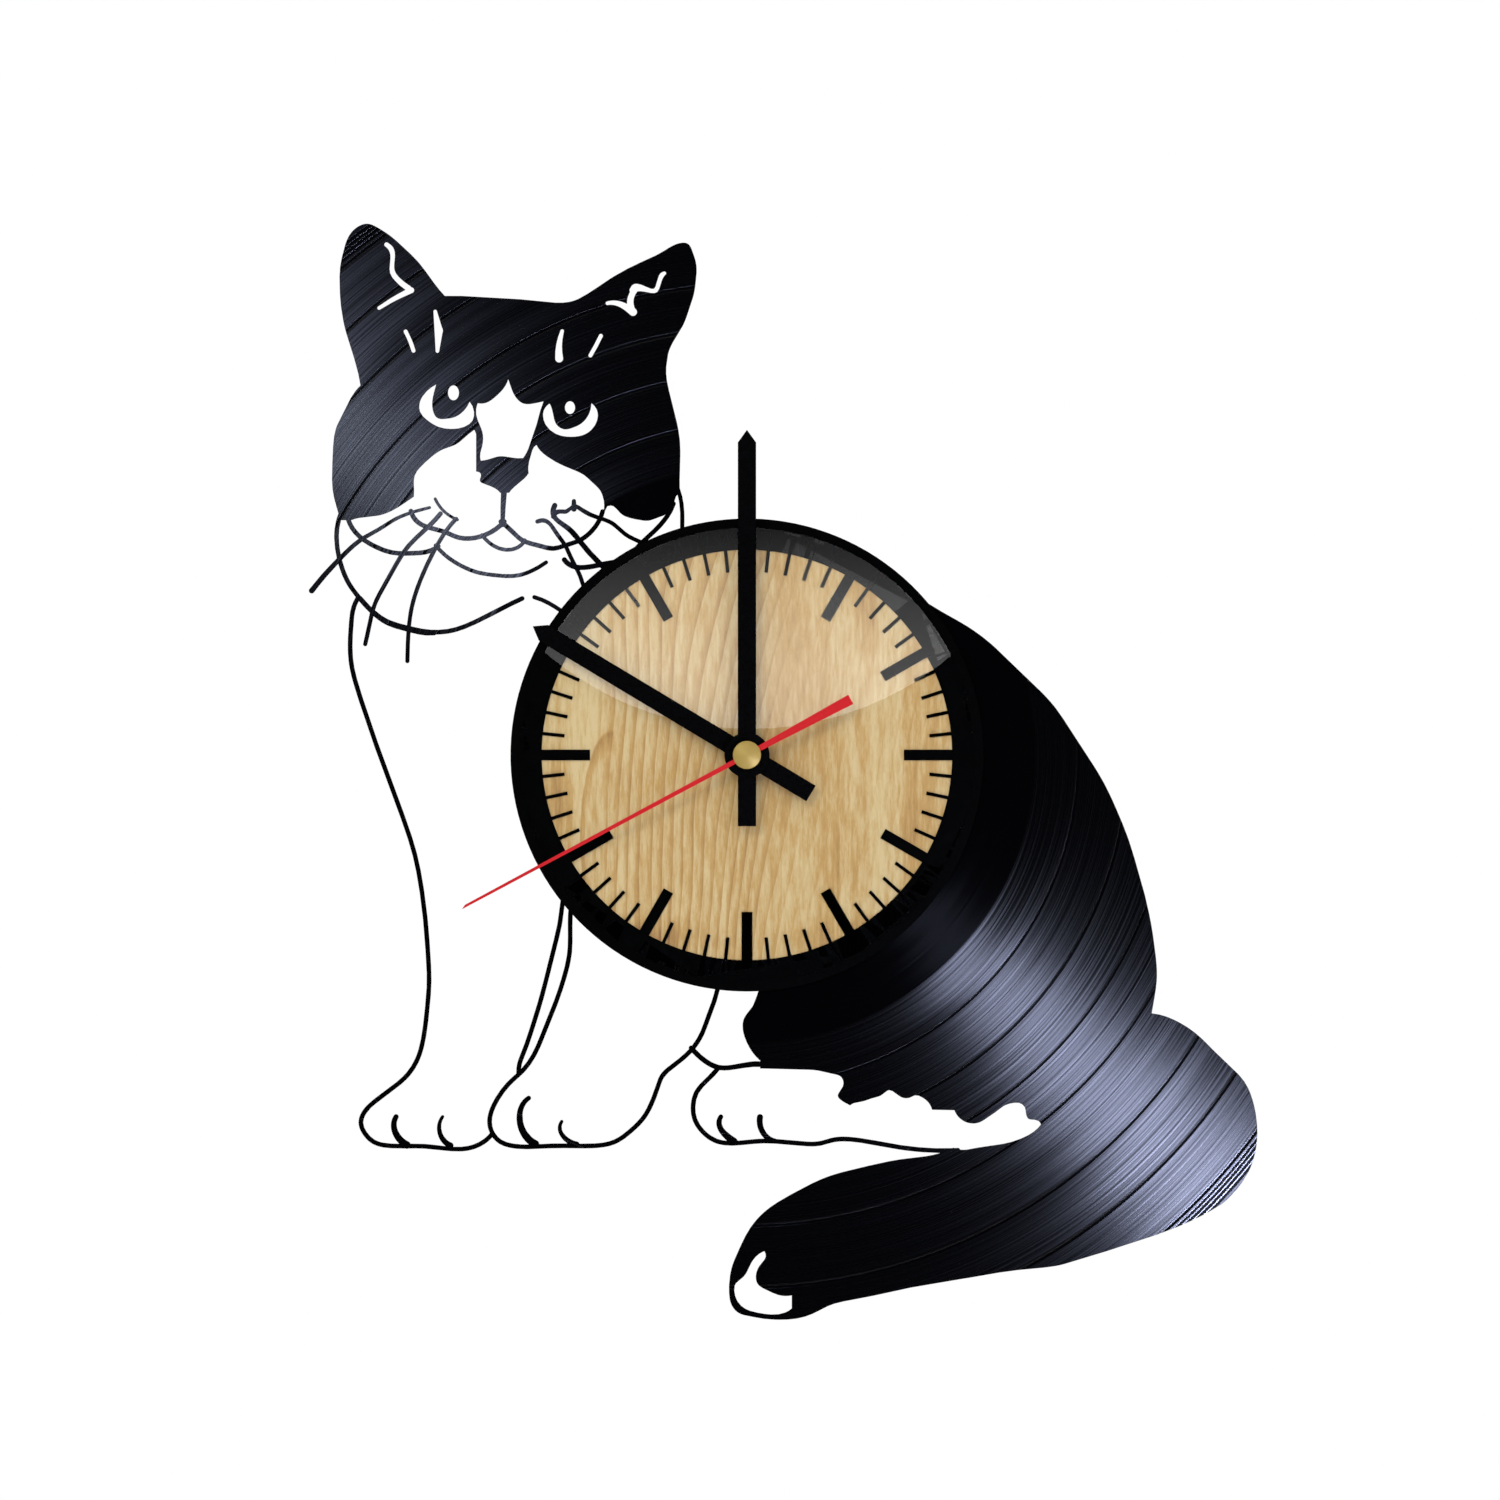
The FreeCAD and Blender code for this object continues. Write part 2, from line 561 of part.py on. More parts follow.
# Lines of the drawing: points along the middle, then the width at each end as
# a share of the web's own width.
LINES = {
    "face_left": (
        [(-93.4, 55.5), (-94.4, 50.5), (-94.2, 47.5), (-93.4, 43.8), (-91.6, 39.5), (-89.3, 36.3),
         (-86.6, 33.5), (-83.1, 30.9), (-78.3, 29.3), (-74, 28.4), (-68, 28.6), (-62.3, 30.7),
         (-56.4, 33.7), (-51.7, 36)], 1.0, 1.0),
    "jaw_weight": (
        [(-89.0, 36.0), (-86.4, 33.2), (-83.0, 30.6), (-78.3, 29.0), (-74, 28.1), (-72, 28.1)],
        1.1, 1.1),
    "collar_right": ([(-48.9, 36.3), (-46.3, 35.3), (-42.5, 33), (-36, 29)], 0.9, 0.9),
    "chest_left": (
        [(-89.6, 35.9), (-90.7, 33), (-91, 30.5), (-91, 21), (-89.6, 15.3), (-87.2, 8),
         (-84.6, 0.5), (-81.8, -7), (-78.9, -15), (-76.5, -22.5), (-74.9, -30.5), (-73.9, -38.5),
         (-73.3, -46.5), (-73.1, -52), (-73.5, -58), (-74.3, -64.5), (-75.8, -70), (-78, -73.5),
         (-81.5, -76.6), (-85.5, -79.6), (-88.1, -82.3), (-88.8, -84.5), (-87.9, -87),
         (-85.8, -89), (-82, -89.9), (-74, -90), (-62.8, -90.1), (-60.3, -88.8), (-58.5, -87)],
        1.0, 1.0),
    "leg_back_edge": (
        [(-39.5, -26), (-42.4, -34), (-43, -38.5), (-44.4, -44.5), (-46, -51), (-47.6, -57),
         (-49.3, -62.5), (-51.2, -68), (-52.3, -71), (-52.5, -73.4)], 1.0, 1.0),
    "leg_and_paw": (
        [(-37.5, -28), (-40.6, -36.5), (-40.8, -45.5), (-42, -51), (-44, -57), (-46.4, -63),
         (-49, -69), (-51.5, -72.5), (-54.7, -75.5), (-57.3, -78.9), (-58.8, -82), (-59.2, -84.5),
         (-58.4, -87.2), (-56.8, -88.9), (-53.9, -89.9), (-45, -89.9), (-35.5, -89.9),
         (-30.5, -89), (-26.8, -86.5), (-23.7, -83.3), (-21.6, -79.3), (-20.4, -76), (-19.6, -74),
         (-17, -71.5), (-12.5, -67.5), (-10.3, -64), (-8.8, -60), (-7.6, -56.8), (-6.8, -54),
         (-5.5, -46)], 1.0, 1.0),
    "hind_link": (
        [(-12.8, -67.4), (-9.6, -70.4), (-6.8, -71.8), (-2, -71.6), (4.5, -71.4)], 1.1, 1.1),
    "hind_paw": (
        [(-6.5, -71.8), (-9, -74.6), (-11.6, -77.6), (-12.4, -81), (-12, -83.8), (-10.2, -86.6),
         (-7, -88.8), (-3, -89.3), (3, -88.8), (8.5, -89), (13, -89.4), (17, -89.3),
         (19.5, -88.6), (25, -88.5), (30, -89.3), (35, -90.2), (39, -90.7), (48.5, -90.9)],
        1.0, 1.0),
    "front_toe_a": ([(-80.7, -83.2), (-81.2, -85.6), (-80.4, -87.7), (-78.2, -89.7)], 1.1, 1.6),
    "front_toe_b": ([(-70, -83.2), (-70.8, -86), (-70.2, -88), (-68.2, -89.8)], 0.7, 1.3),
    "paw_toe_a": (
        [(-50.2, -78.9), (-51.8, -80.8), (-52.2, -84.5), (-51.3, -87), (-48.7, -89.5)], 1.0, 1.7),
    "paw_toe_b": ([(-42.6, -84.3), (-43, -86.3), (-42, -88), (-39.2, -89.6)], 0.7, 1.3),
    "hind_toe_a": ([(-6, -83.2), (-6.4, -85), (-5.3, -87), (-3, -88.9)], 1.0, 1.6),
    "hind_toe_b": ([(3, -83.3), (3.1, -85.5), (4, -87.3), (6.4, -88.8)], 1.3, 1.1),
    "philtrum": ([(-55.8, 61.5), (-56.1, 57), (-56.2, 52.9)], 1.3, 0.9),
    "mouth_left": (
        [(-55.8, 53.7), (-58.3, 51.6), (-60.8, 50.4), (-66.6, 50.1), (-69.5, 51.3), (-72, 52),
         (-74, 52.6), (-77.3, 56.1)], 1.0, 1.0),
    "mouth_right": (
        [(-56.6, 53.7), (-53.9, 51.3), (-51.5, 49.3), (-48, 48.2), (-44.5, 47.5), (-41.8, 48.2),
         (-38.6, 49.3), (-36, 51.2), (-33.2, 56)], 1.0, 1.0),
    "lower_lip": (
        [(-60.9, 50.6), (-58.4, 48.2), (-55.5, 47.2), (-52.8, 47.7), (-51.1, 49.4)], 0.8, 0.8),
    "chin": (
        [(-71.6, 48.2), (-68.6, 45.3), (-65.5, 43.4), (-62, 42), (-58.5, 41.4), (-52.2, 41.4),
         (-49.2, 42.5), (-46.2, 44.3)], 0.85, 0.85),
    "cheek_pad_left": (
        [(-91.9, 55), (-90.2, 51.4), (-88.3, 49.6), (-85.2, 47.8), (-81.8, 46.6), (-77, 46.4),
         (-73.8, 46.7), (-71, 48)], 1.0, 1.0),
    "whisker_left_a": (
        [(-100.1, 37.8), (-97.5, 41), (-93.6, 45.2), (-88.5, 49.7), (-84.5, 52), (-80.8, 54.3),
         (-77.4, 55.7), (-75, 56.4), (-73, 56.9)], 1.2, 0.65),
    "whisker_left_b": (
        [(-70.5, 55.5), (-73.4, 52.4), (-78, 47.9), (-80.6, 44), (-83.2, 39.3), (-85.6, 34.7),
         (-86.6, 31), (-87.8, 25.5)], 1.0, 0.9),
    "whisker_left_c": (
        [(-66.9, 54.3), (-69.3, 51.4), (-71.4, 48), (-73.6, 43.7), (-75.7, 38.7), (-77.2, 33.5),
         (-77.8, 29), (-78.1, 21.6)], 0.9, 0.9),
    "whisker_link": ([(-71.7, 58.9), (-70.3, 56.7), (-66.6, 54.1)], 0.65, 0.65),
    "whisker_right_a": (
        [(-48.2, 53.7), (-46.2, 53.8), (-43.8, 51), (-41.8, 48.2), (-40.3, 45), (-38.6, 41.7),
         (-37.5, 38.5), (-35.5, 33)], 0.9, 0.9),
    "whisker_right_b": (
        [(-44.2, 57.4), (-44.4, 55), (-41.2, 52.2), (-38.6, 49.4), (-36.3, 46.6), (-33.8, 44),
         (-28.5, 37.5)], 1.1, 1.2),
    "whisker_right_c": (
        [(-44.6, 54.8), (-43, 56), (-41.6, 56), (-39.8, 57.2), (-38, 56.4), (-34.5, 54.7),
         (-31, 53.3), (-28, 50.8), (-24.5, 49), (-17, 45.5)], 0.9, 0.9),
    "whisker_barb": ([(-39.8, 58.4), (-39.8, 56.6)], 0.9, 1.2),
    "whisker_right_d": (
        [(-42, 44.9), (-40, 43.4), (-36, 43.3), (-32.5, 44), (-25, 43)], 1.1, 1.1),
    "jaw_right": (
        [(-16.9, 57.8), (-18.8, 54.3), (-21.2, 51.6), (-24, 49), (-28, 42)], 1.0, 1.0),
    "neck_right": ([(-15.9, 61.2), (-14.9, 56), (-14.9, 52), (-14.5, 44)], 0.9, 0.9),
}

# Slots cut through the head: points along the middle, then the widths in
# millimetres at the two ends.
SLOTS = [
    # inside the ears
    ([(-82.9, 117.4), (-81.5, 115.2), (-81.5, 111), (-80.3, 109.3), (-77.8, 107.3)], 1.0, 1.3),
    ([(-77.2, 106.9), (-81, 105), (-84.6, 102.8)], 1.3, 0.8),
    ([(-32.1, 103.9), (-29.5, 103.8), (-27.6, 102.9), (-26.2, 101.9)], 0.8, 1.8),
    ([(-26.4, 102.1), (-26.7, 105.2), (-25.8, 106.9)], 1.6, 1.3),
    ([(-26.3, 106.9), (-23.6, 107.2), (-21, 106.9), (-20.3, 108.5), (-19, 110.8)], 1.4, 0.8),
    # brow marks
    ([(-78.5, 97.4), (-77.5, 95.3), (-76.7, 93)], 0.9, 0.9),
    ([(-71.7, 102), (-70.9, 97.5)], 0.8, 1.9),
    ([(-70.9, 97.7), (-71.2, 92.9)], 1.9, 0.8),
    ([(-42.5, 97.5), (-43.1, 95.1), (-43.2, 91.2)], 0.8, 1.8),
    ([(-33.6, 96.4), (-34.6, 94.4), (-36, 91.9)], 0.9, 0.9),
]

# Catch-lights in the eyes: centre, half-width, half-height.
CATCH_LIGHTS = [((-67.5, 83.3), 1.25, 1.7), ((-40.7, 79.9), 1.15, 1.45)]


def curve_through(points):
    if len(points) == 2:
        return Part.LineSegment(points[0], points[1]).toShape()
    spline = Part.BSplineCurve()
    spline.interpolate(points)
    return spline.toShape()


def outline_face(stretches, scale):
    """A flat face inside stretches of curve that meet at corners."""
    edges = []
    last = stretches[-1][-1]
    for stretch in stretches:
        points = [last] + [point for point in stretch if point != last]
        edges.append(curve_through([Vector(x * scale, z * scale, 0) for x, z in points]))
        last = stretch[-1]
    return Part.Face(Part.Wire(edges))


def line_face(points, start_width, end_width, scale):
    """A flat face of changing width along a smooth line, with round ends."""
    middle = [Vector(x * scale, z * scale, 0) for x, z in points]
    edge = curve_through(middle)
    spline = edge.Curve
    lengths = [0.0]
    for before, after in zip(middle, middle[1:]):
        lengths.append(lengths[-1] + before.distanceToPoint(after))
    sides = ([], [])
    for point, run in zip(middle, lengths):
        half = (start_width + (end_width - start_width) * run / lengths[-1]) / 2
        along = Vector(*spline.tangent(spline.parameter(point))[0])
        across = Vector(-along.y, along.x, 0) * half
        sides[0].append(point + across)
        sides[1].append(point - across)
    heading = Vector(*spline.tangent(spline.parameter(middle[-1]))[0]) * (end_width / 2)
    leaving = Vector(*spline.tangent(spline.parameter(middle[0]))[0]) * (start_width / 2)
    ends = [
        Part.Arc(sides[0][-1], middle[-1] + heading, sides[1][-1]).toShape(),
        Part.Arc(sides[1][0], middle[0] - leaving, sides[0][0]).toShape(),
    ]
    edges = [curve_through(sides[0]), ends[0], curve_through(sides[1]), ends[1]]
    return Part.Face(Part.Wire(Part.__sortEdges__(edges)))


def oval_face(centre, half_width, half_height, scale):
    x, z = centre
    middle = Vector(x * scale, z * scale, 0)
    tall = Part.Ellipse(middle + Vector(0, half_height * scale, 0),
                        middle + Vector(half_width * scale, 0, 0), middle)
    return Part.Face(Part.Wire(tall.toShape()))


def facing_up(face):
    if face.normalAt(0, 0).z < 0:
        face.reverse()
    return face


def make_record():
    scale = value("record_dia") / DRAWN_RECORD
    web = value("web_width")
    thick = value("record_thick")
    head = outline_face(HEAD, scale)
    holes = [outline_face(shape, scale) for shape in (BLAZE, LEFT_EYE, RIGHT_EYE)]
    holes += [line_face(points, start, end, scale) for points, start, end in SLOTS]
    holes += [oval_face(centre, wide, tall, scale) for centre, wide, tall in CATCH_LIGHTS]
    body = outline_face(BODY_AND_TAIL, scale)
    disc_radius = max(value("dial_dia"), DRAWN_DISC * scale) / 2
    disc = Part.Face(Part.Wire(Part.Circle(Vector(), Vector(0, 0, 1), disc_radius).toShape()))
    lines = [line_face(points, start * web, end * web, scale)
             for points, start, end in LINES.values()]

    def thicken(face):
        return facing_up(face).extrude(Vector(0, 0, thick))

    solid = thicken(head).cut([thicken(hole) for hole in holes])
    haunch = thicken(body).cut(thicken(outline_face(TAIL_GAP, scale)))
    solid = solid.fuse([haunch, thicken(disc)] + [thicken(line) for line in lines])
    solid = solid.cut(rod(0, 0, -1, thick + 1, value(f"{SPINDLE_HOLE} / 2")))
    solid = solid.removeSplitter()
    solid.translate(Vector(0, 0, value(RECORD_BACK)))
    return flat_shape("record_plate", solid)


# ---------------------------------------------------------------- the dial


def make_dial():
    turned_disc("wood_dial", WOOD_BACK, "wood_thick", "dial_dia / 2 - wood_inset",
                f"{SPINDLE_HOLE} / 2")
    turned_disc("dial_glass", GLASS_BACK, "glass_thick", "dial_dia / 2 - glass_inset",
                f"{SPINDLE_HOLE} / 2")
    ring = turned_disc("marker_ring", MARKER_BACK, "marker_thick", "dial_dia / 2",
                       f"{DIAL_OPENING} / 2")
    for kind, count in (("bar", 12), ("tick", 60)):
        sketch = start_sketch(ring, MARKER_BACK)
        rectangle(sketch, f"-{kind}_width / 2", f"{DIAL_OPENING} / 2 - {kind}_length",
                  f"{kind}_width / 2", f"{DIAL_OPENING} / 2 + mark_root")
        mark = pad(ring, sketch, "marker_thick")
        doc.recompute()
        repeat_round(ring, mark, count)


# ---------------------------------------------------------------- fixings


def make_fixings():
    turned_disc("rubber_washer", RUBBER_BACK, "rubber_thick", "rubber_dia / 2",
                f"{SPINDLE_HOLE} / 2")
    turned_disc("front_washer", WASHER_BACK, "washer_thick", "bush_dia / 2 + washer_rim",
                f"{SPINDLE_HOLE} / 2")
    nut = start_body("hex_nut")
    sketch = start_sketch(nut, NUT_BACK)
    polygon(sketch, [(f"{NUT_FLATS} / sqrt(3) * cos({60 * n}deg)",
                      f"{NUT_FLATS} / sqrt(3) * sin({60 * n}deg)") for n in range(6)])
    circle(sketch, "bush_dia / 2 + press_gap")
    pad(nut, sketch, "nut_thick")


def make_hanger():
    """A sheet bent back over the movement to the wall, with the nail hole in its top."""
    hanger = start_body("hanger")
    profile = start_sketch(hanger, "-hanger_width / 2", "YZ_Plane")
    polygon(profile, [
        (f"-{RUBBER_BACK}", "hanger_low"),
        (f"-{CASE_DEPTH}", "hanger_low"),
        (f"-{CASE_DEPTH}", SHELF),
        ("0", SHELF),
        ("0", f"{SHELF_TOP} + hanger_rise"),
        ("-hanger_sheet", f"{SHELF_TOP} + hanger_rise"),
        ("-hanger_sheet", SHELF_TOP),
        (f"-{RUBBER_BACK}", SHELF_TOP),
    ])
    pad(hanger, profile, "hanger_width")
    holes = start_sketch(hanger, RUBBER_BACK)
    circle(holes, f"{SPINDLE_HOLE} / 2")
    pocket(hanger, holes, "hanger_sheet")
    nail = start_sketch(hanger, "hanger_sheet")
    circle(nail, "nail_hole / 2", z=f"{SHELF_TOP} + nail_rise")
    pocket(hanger, nail, "hanger_sheet")


# ---------------------------------------------------------------- hands


def make_pointer(label, back, reach, tail, hole):
    """A straight hand with a pointed tip, a square tail and a round hub."""
    hand = start_body(label)
    blade = start_sketch(hand, back)
    side = "hand_width / 2"
    polygon(blade, [
        (f"-{tail}", f"-{side}"),
        (f"{reach} - hand_point", f"-{side}"),
        (reach, "0"),
        (f"{reach} - hand_point", side),
        (f"-{tail}", side),
    ])
    pad(hand, blade, "hand_thick")
    hub = start_sketch(hand, back)
    circle(hub, "hub_dia / 2")
    pad(hand, hub, "hand_thick")
    bore = start_sketch(hand, f"{back} + hand_thick")
    circle(bore, hole)
    pocket(hand, bore, "hand_thick")
    return hand


def turn_about_axis(item, angle):
    """Turned about the hands' axis from pointing right, anticlockwise seen from the front."""
    item.Placement = FreeCAD.Placement(Vector(), FreeCAD.Rotation(Vector(0, -1, 0), value(angle)))


def make_hands():
    minute = make_pointer("minute_hand", MINUTE_HAND_BACK, "minute_reach", "minute_tail",
                          "collet_dia / 2")
    turn_about_axis(minute, "minute_angle")
    hour = make_pointer("hour_hand", HOUR_HAND_BACK, "hour_reach", "hour_tail", "collet_dia / 2")
    turn_about_axis(hour, "hour_angle")
    turned_disc("hour_hand_collet", HOUR_COLLET_BACK, "hand_thick + 2 * collet_rise",
                "collet_dia / 2", "hour_dia / 2")
    turned_disc("minute_hand_collet", MINUTE_COLLET_BACK, "hand_thick + 2 * collet_rise",
                "collet_dia / 2", "minute_dia / 2")

    second = start_body("second_hand")
    blade = start_sketch(second, SECOND_HAND_BACK)
    polygon(blade, [
        ("-second_tail", "-second_tail_width / 2"),
        ("0", "-second_root / 2"),
        ("second_reach - 2 * second_tip", "-second_tip / 2"),
        ("second_reach", "second_tip / 2"),
        ("0", "second_root / 2"),
        ("-second_tail", "second_tail_width / 2"),
    ])
    pad(second, blade, "second_thick")
    tube = start_sketch(second, SECOND_TUBE_BACK)
    circle(tube, "second_tube_dia / 2")
    pad(second, tube, f"{CAP_BACK} - {SECOND_TUBE_BACK}")
    bore = start_sketch(second, CAP_BACK)
    circle(bore, "seconds_dia / 2")
    pocket(second, bore, f"{CAP_BACK} - {SECOND_TUBE_BACK}")
    turn_about_axis(second, "second_angle")

    back = value(CAP_BACK)
    radius = value("cap_dia / 2")
    height = value("cap_height")
    crown = value("cap_crown")
    ball = (radius * radius + crown * crown) / (2 * crown)
    dome = Part.makeSphere(ball, Vector(0, 0, back + height - ball))
    cap = rod(0, 0, back, back + height, radius).common(dome)
    arbor = rod(0, 0, back - 1, value(SECOND_END), value("seconds_dia / 2"))
    flat_shape("second_hand_cap", cap.cut(arbor))


# ---------------------------------------------------------------- gears


def gear_outline(teeth, module, phase):
    """A wheel's outline: involute flanks, thinned a little so the pair has backlash."""
    slope = math.radians(value("pressure_angle"))
    pitch = teeth * module / 2
    base = pitch * math.cos(slope)
    tip = pitch + value("tooth_rise") * module
    root = pitch - value("tooth_drop") * module
    half_tooth = value("tooth_share") * math.pi / teeth + math.tan(slope) - slope

    def flank(radius):
        """Half the tooth's angle at a radius."""
        if radius <= base:
            return half_tooth
        reach = math.acos(base / radius)
        return half_tooth - (math.tan(reach) - reach)

    def at(radius, angle):
        return Vector(radius * math.cos(angle), radius * math.sin(angle), 0)

    start = max(base, root)
    edges = []
    for n in range(teeth):
        middle = phase + 2 * math.pi * n / teeth
        radii = [start, (start + tip) / 2, tip]
        rising = [at(radius, middle - flank(radius)) for radius in radii]
        falling = [at(radius, middle + flank(radius)) for radius in reversed(radii)]
        following = middle + 2 * math.pi / teeth
        low_after = at(root, middle + flank(root))
        low_next = at(root, following - flank(root))
        valley = at(root, middle + math.pi / teeth)
        edges.append(Part.Arc(*rising).toShape())
        edges.append(Part.Arc(rising[-1], at(tip, middle), falling[0]).toShape())
        edges.append(Part.Arc(*falling).toShape())
        if start > root:
            edges.append(Part.LineSegment(falling[-1], low_after).toShape())
        edges.append(Part.Arc(low_after, valley, low_next).toShape())
        if start > root:
            edges.append(Part.LineSegment(low_next, at(start, following - flank(start))).toShape())
    return Part.Face(Part.Wire(edges))


def gear(teeth, module, phase, x, z, back, thick):
    solid = gear_outline(int(value(teeth)), module, phase).extrude(Vector(0, 0, thick))
    solid.translate(Vector(x, z, back))
    return solid


def module_of(spacing, wheel, pinion):
    return 2 * value(spacing) / (value(wheel) + value(pinion))


def meshing_phase(wheel, wheel_phase, way, pinion):
    """The pinion's phase that puts its teeth in the gaps of a wheel it stands beside."""
    direction = math.radians(value(way))
    wheel_pitch = 2 * math.pi / value(wheel)
    pinion_pitch = 2 * math.pi / value(pinion)
    part = ((direction - wheel_phase) / wheel_pitch) % 1
    return direction + math.pi - (0.5 - part) * pinion_pitch


def turned_arbor(x, z, shoulder_front, pivot_front):
    """A wheel's arbor between the back cover and the middle plate, with a pivot at each end."""
    pivot = value("pivot_dia / 2")
    shoulder = value(SHOULDER)
    return [rod(x, z, value(PIVOT_BACK), shoulder, pivot),
            rod(x, z, shoulder, shoulder_front, value("arbor_dia / 2")),
            rod(x, z, shoulder_front, pivot_front, pivot)]


def make_rotor():
    module = module_of("rotor_spacing", "intermediate_teeth", "rotor_teeth")
    x, z = value(ROTOR_X), value(ROTOR_Z)
    phase = meshing_phase("intermediate_teeth", 0, "rotor_way", "rotor_teeth")
    magnet_back = value("stator_depth + stator_thick / 2 - magnet_thick / 2")
    magnet_front = magnet_back + value("magnet_thick")
    pinion_back = value("intermediate_depth - end_gap")
    pinion_front = value("intermediate_depth + wheel_thick + end_gap")
    parts = [gear("rotor_teeth", module, phase, x, z, pinion_back, pinion_front - pinion_back)]
    parts += turned_arbor(x, z, value("plate_depth - end_gap"), value(PLATE_FRONT))
    parts.append(rod(x, z, pinion_front, magnet_front, value("arbor_dia")))
    flat_shape("rotor", parts[0].fuse(parts[1:]).removeSplitter())
    ring = rod(x, z, magnet_back, magnet_front, value("magnet_dia / 2"))
    flat_shape("rotor_magnet", ring.cut(rod(x, z, magnet_back, magnet_front, value("arbor_dia"))))


def make_intermediate_wheel():
    wheel_module = module_of("rotor_spacing", "intermediate_teeth", "rotor_teeth")
    pinion_module = module_of("intermediate_spacing", "seconds_teeth", "intermediate_pinion")
    x, z = value(INTERMEDIATE_X), value(INTERMEDIATE_Z)
    depth = value("intermediate_depth")
    thick = value("wheel_thick")
    pinion_phase = meshing_phase("seconds_teeth", 0, "intermediate_way", "intermediate_pinion")
    pinion_front = value("seconds_depth + wheel_thick + level_gap")
    parts = [gear("intermediate_teeth", wheel_module, 0, x, z, depth, thick)]
    parts.append(gear("intermediate_pinion", pinion_module, pinion_phase, x, z, depth + thick,
                      pinion_front - depth - thick))
    parts += turned_arbor(x, z, value("plate_depth - end_gap"), value(PLATE_FRONT))
    flat_shape("intermediate_wheel", parts[0].fuse(parts[1:]).removeSplitter())


def make_seconds_wheel():
    wheel_module = module_of("intermediate_spacing", "seconds_teeth", "intermediate_pinion")
    pinion_module = module_of("third_spacing", "third_teeth", "seconds_pinion")
    depth = value("seconds_depth")
    thick = value("wheel_thick")
    pinion_front = value("third_depth + wheel_thick + end_gap")
    parts = [gear("seconds_teeth", wheel_module, 0, 0, 0, depth, thick)]
    parts.append(gear("seconds_pinion", pinion_module, 0, 0, 0, depth + thick,
                      pinion_front - depth - thick))
    parts.append(rod(0, 0, value(PIVOT_BACK), value(SHOULDER), value("pivot_dia / 2")))
    parts.append(rod(0, 0, value(SHOULDER), value(SECOND_END), value("seconds_dia / 2")))
    flat_shape("seconds_wheel", parts[0].fuse(parts[1:]).removeSplitter())


def make_third_wheel():
    wheel_module = module_of("third_spacing", "third_teeth", "seconds_pinion")
    pinion_module = module_of("third_spacing", "centre_teeth", "third_pinion")
    x, z = value(THIRD_X), value(THIRD_Z)
    depth = value("third_depth")
    thick = value("wheel_thick")
    wheel_phase = meshing_phase("seconds_pinion", 0, "third_way", "third_teeth")
    pinion_phase = meshing_phase("centre_teeth", 0, "third_way", "third_pinion")
    pinion_front = value("centre_depth + wheel_thick + end_gap")
    parts = [gear("third_teeth", wheel_module, wheel_phase, x, z, depth, thick)]
    parts.append(gear("third_pinion", pinion_module, pinion_phase, x, z, depth + thick,
                      pinion_front - depth - thick))
    parts += turned_arbor(x, z, pinion_front, value(PLATE_FRONT))
    flat_shape("third_wheel", parts[0].fuse(parts[1:]).removeSplitter())


def make_centre_wheel():
    module = module_of("third_spacing", "centre_teeth", "third_pinion")
    depth = value("centre_depth")
    thick = value("wheel_thick")
    hub = value("minute_dia / 2 + hub_rim")
    bore = value("minute_dia / 2 + running_gap / 2")
    wheel = gear("centre_teeth", module, 0, 0, 0, depth, thick)
    wheel = wheel.fuse(rod(0, 0, depth, value("centre_depth + wheel_thick + end_gap"), hub))
    hole = rod(0, 0, 0, value("plate_depth"), bore)
    flat_shape("centre_wheel", wheel.cut(hole).removeSplitter())


def make_minute_arbor():
    module = module_of("minute_work_spacing", "minute_work_teeth", "minute_pinion")
    back = value("centre_depth - level_gap")
    pinion_back = value(f"{PLATE_FRONT} + level_gap")
    pinion_front = value("hour_depth - level_gap")
    phase = math.radians(180 / value("minute_pinion"))
    tube = rod(0, 0, back, value(MINUTE_END), value("minute_dia / 2"))
    tube = tube.fuse(gear("minute_pinion", module, phase, 0, 0, pinion_back,
                          pinion_front - pinion_back))
    bore = value("seconds_dia / 2 + running_gap")
    flat_shape("minute_arbor", tube.cut(rod(0, 0, 0, value(CAP_BACK), bore)).removeSplitter())


def minute_work_phase():
    start = math.radians(180 / value("minute_pinion"))
    return meshing_phase("minute_pinion", start, "minute_work_way", "minute_work_teeth")


def make_minute_work_wheel():
    wheel_module = module_of("minute_work_spacing", "minute_work_teeth", "minute_pinion")
    pinion_module = module_of("minute_work_spacing", "hour_teeth", "minute_work_pinion")
    x, z = value(MINUTE_WORK_X), value(MINUTE_WORK_Z)
    depth = value("minute_work_depth")
    thick = value("wheel_thick")
    pinion_phase = meshing_phase("hour_teeth", 0, "minute_work_way", "minute_work_pinion")
    front = value(f"{WALL_INSIDE} - level_gap")
    wheel = gear("minute_work_teeth", wheel_module, minute_work_phase(), x, z, depth, thick)
    wheel = wheel.fuse(gear("minute_work_pinion", pinion_module, pinion_phase, x, z,
                            depth + thick, front - depth - thick))
    stud = rod(x, z, 0, value(WALL_INSIDE), value("arbor_dia + running_gap"))
    flat_shape("minute_work_wheel", wheel.cut(stud).removeSplitter())


def make_hour_wheel():
    module = module_of("minute_work_spacing", "hour_teeth", "minute_work_pinion")
    depth = value("hour_depth")
    wheel = gear("hour_teeth", module, 0, 0, 0, depth, value("hour_rim"))
    wheel = wheel.fuse(rod(0, 0, depth, value(HOUR_END), value("hour_dia / 2")))
    bore = rod(0, 0, 0, value(MINUTE_END), value("minute_dia / 2 + running_gap"))
    flat_shape("hour_wheel", wheel.cut(bore).removeSplitter())


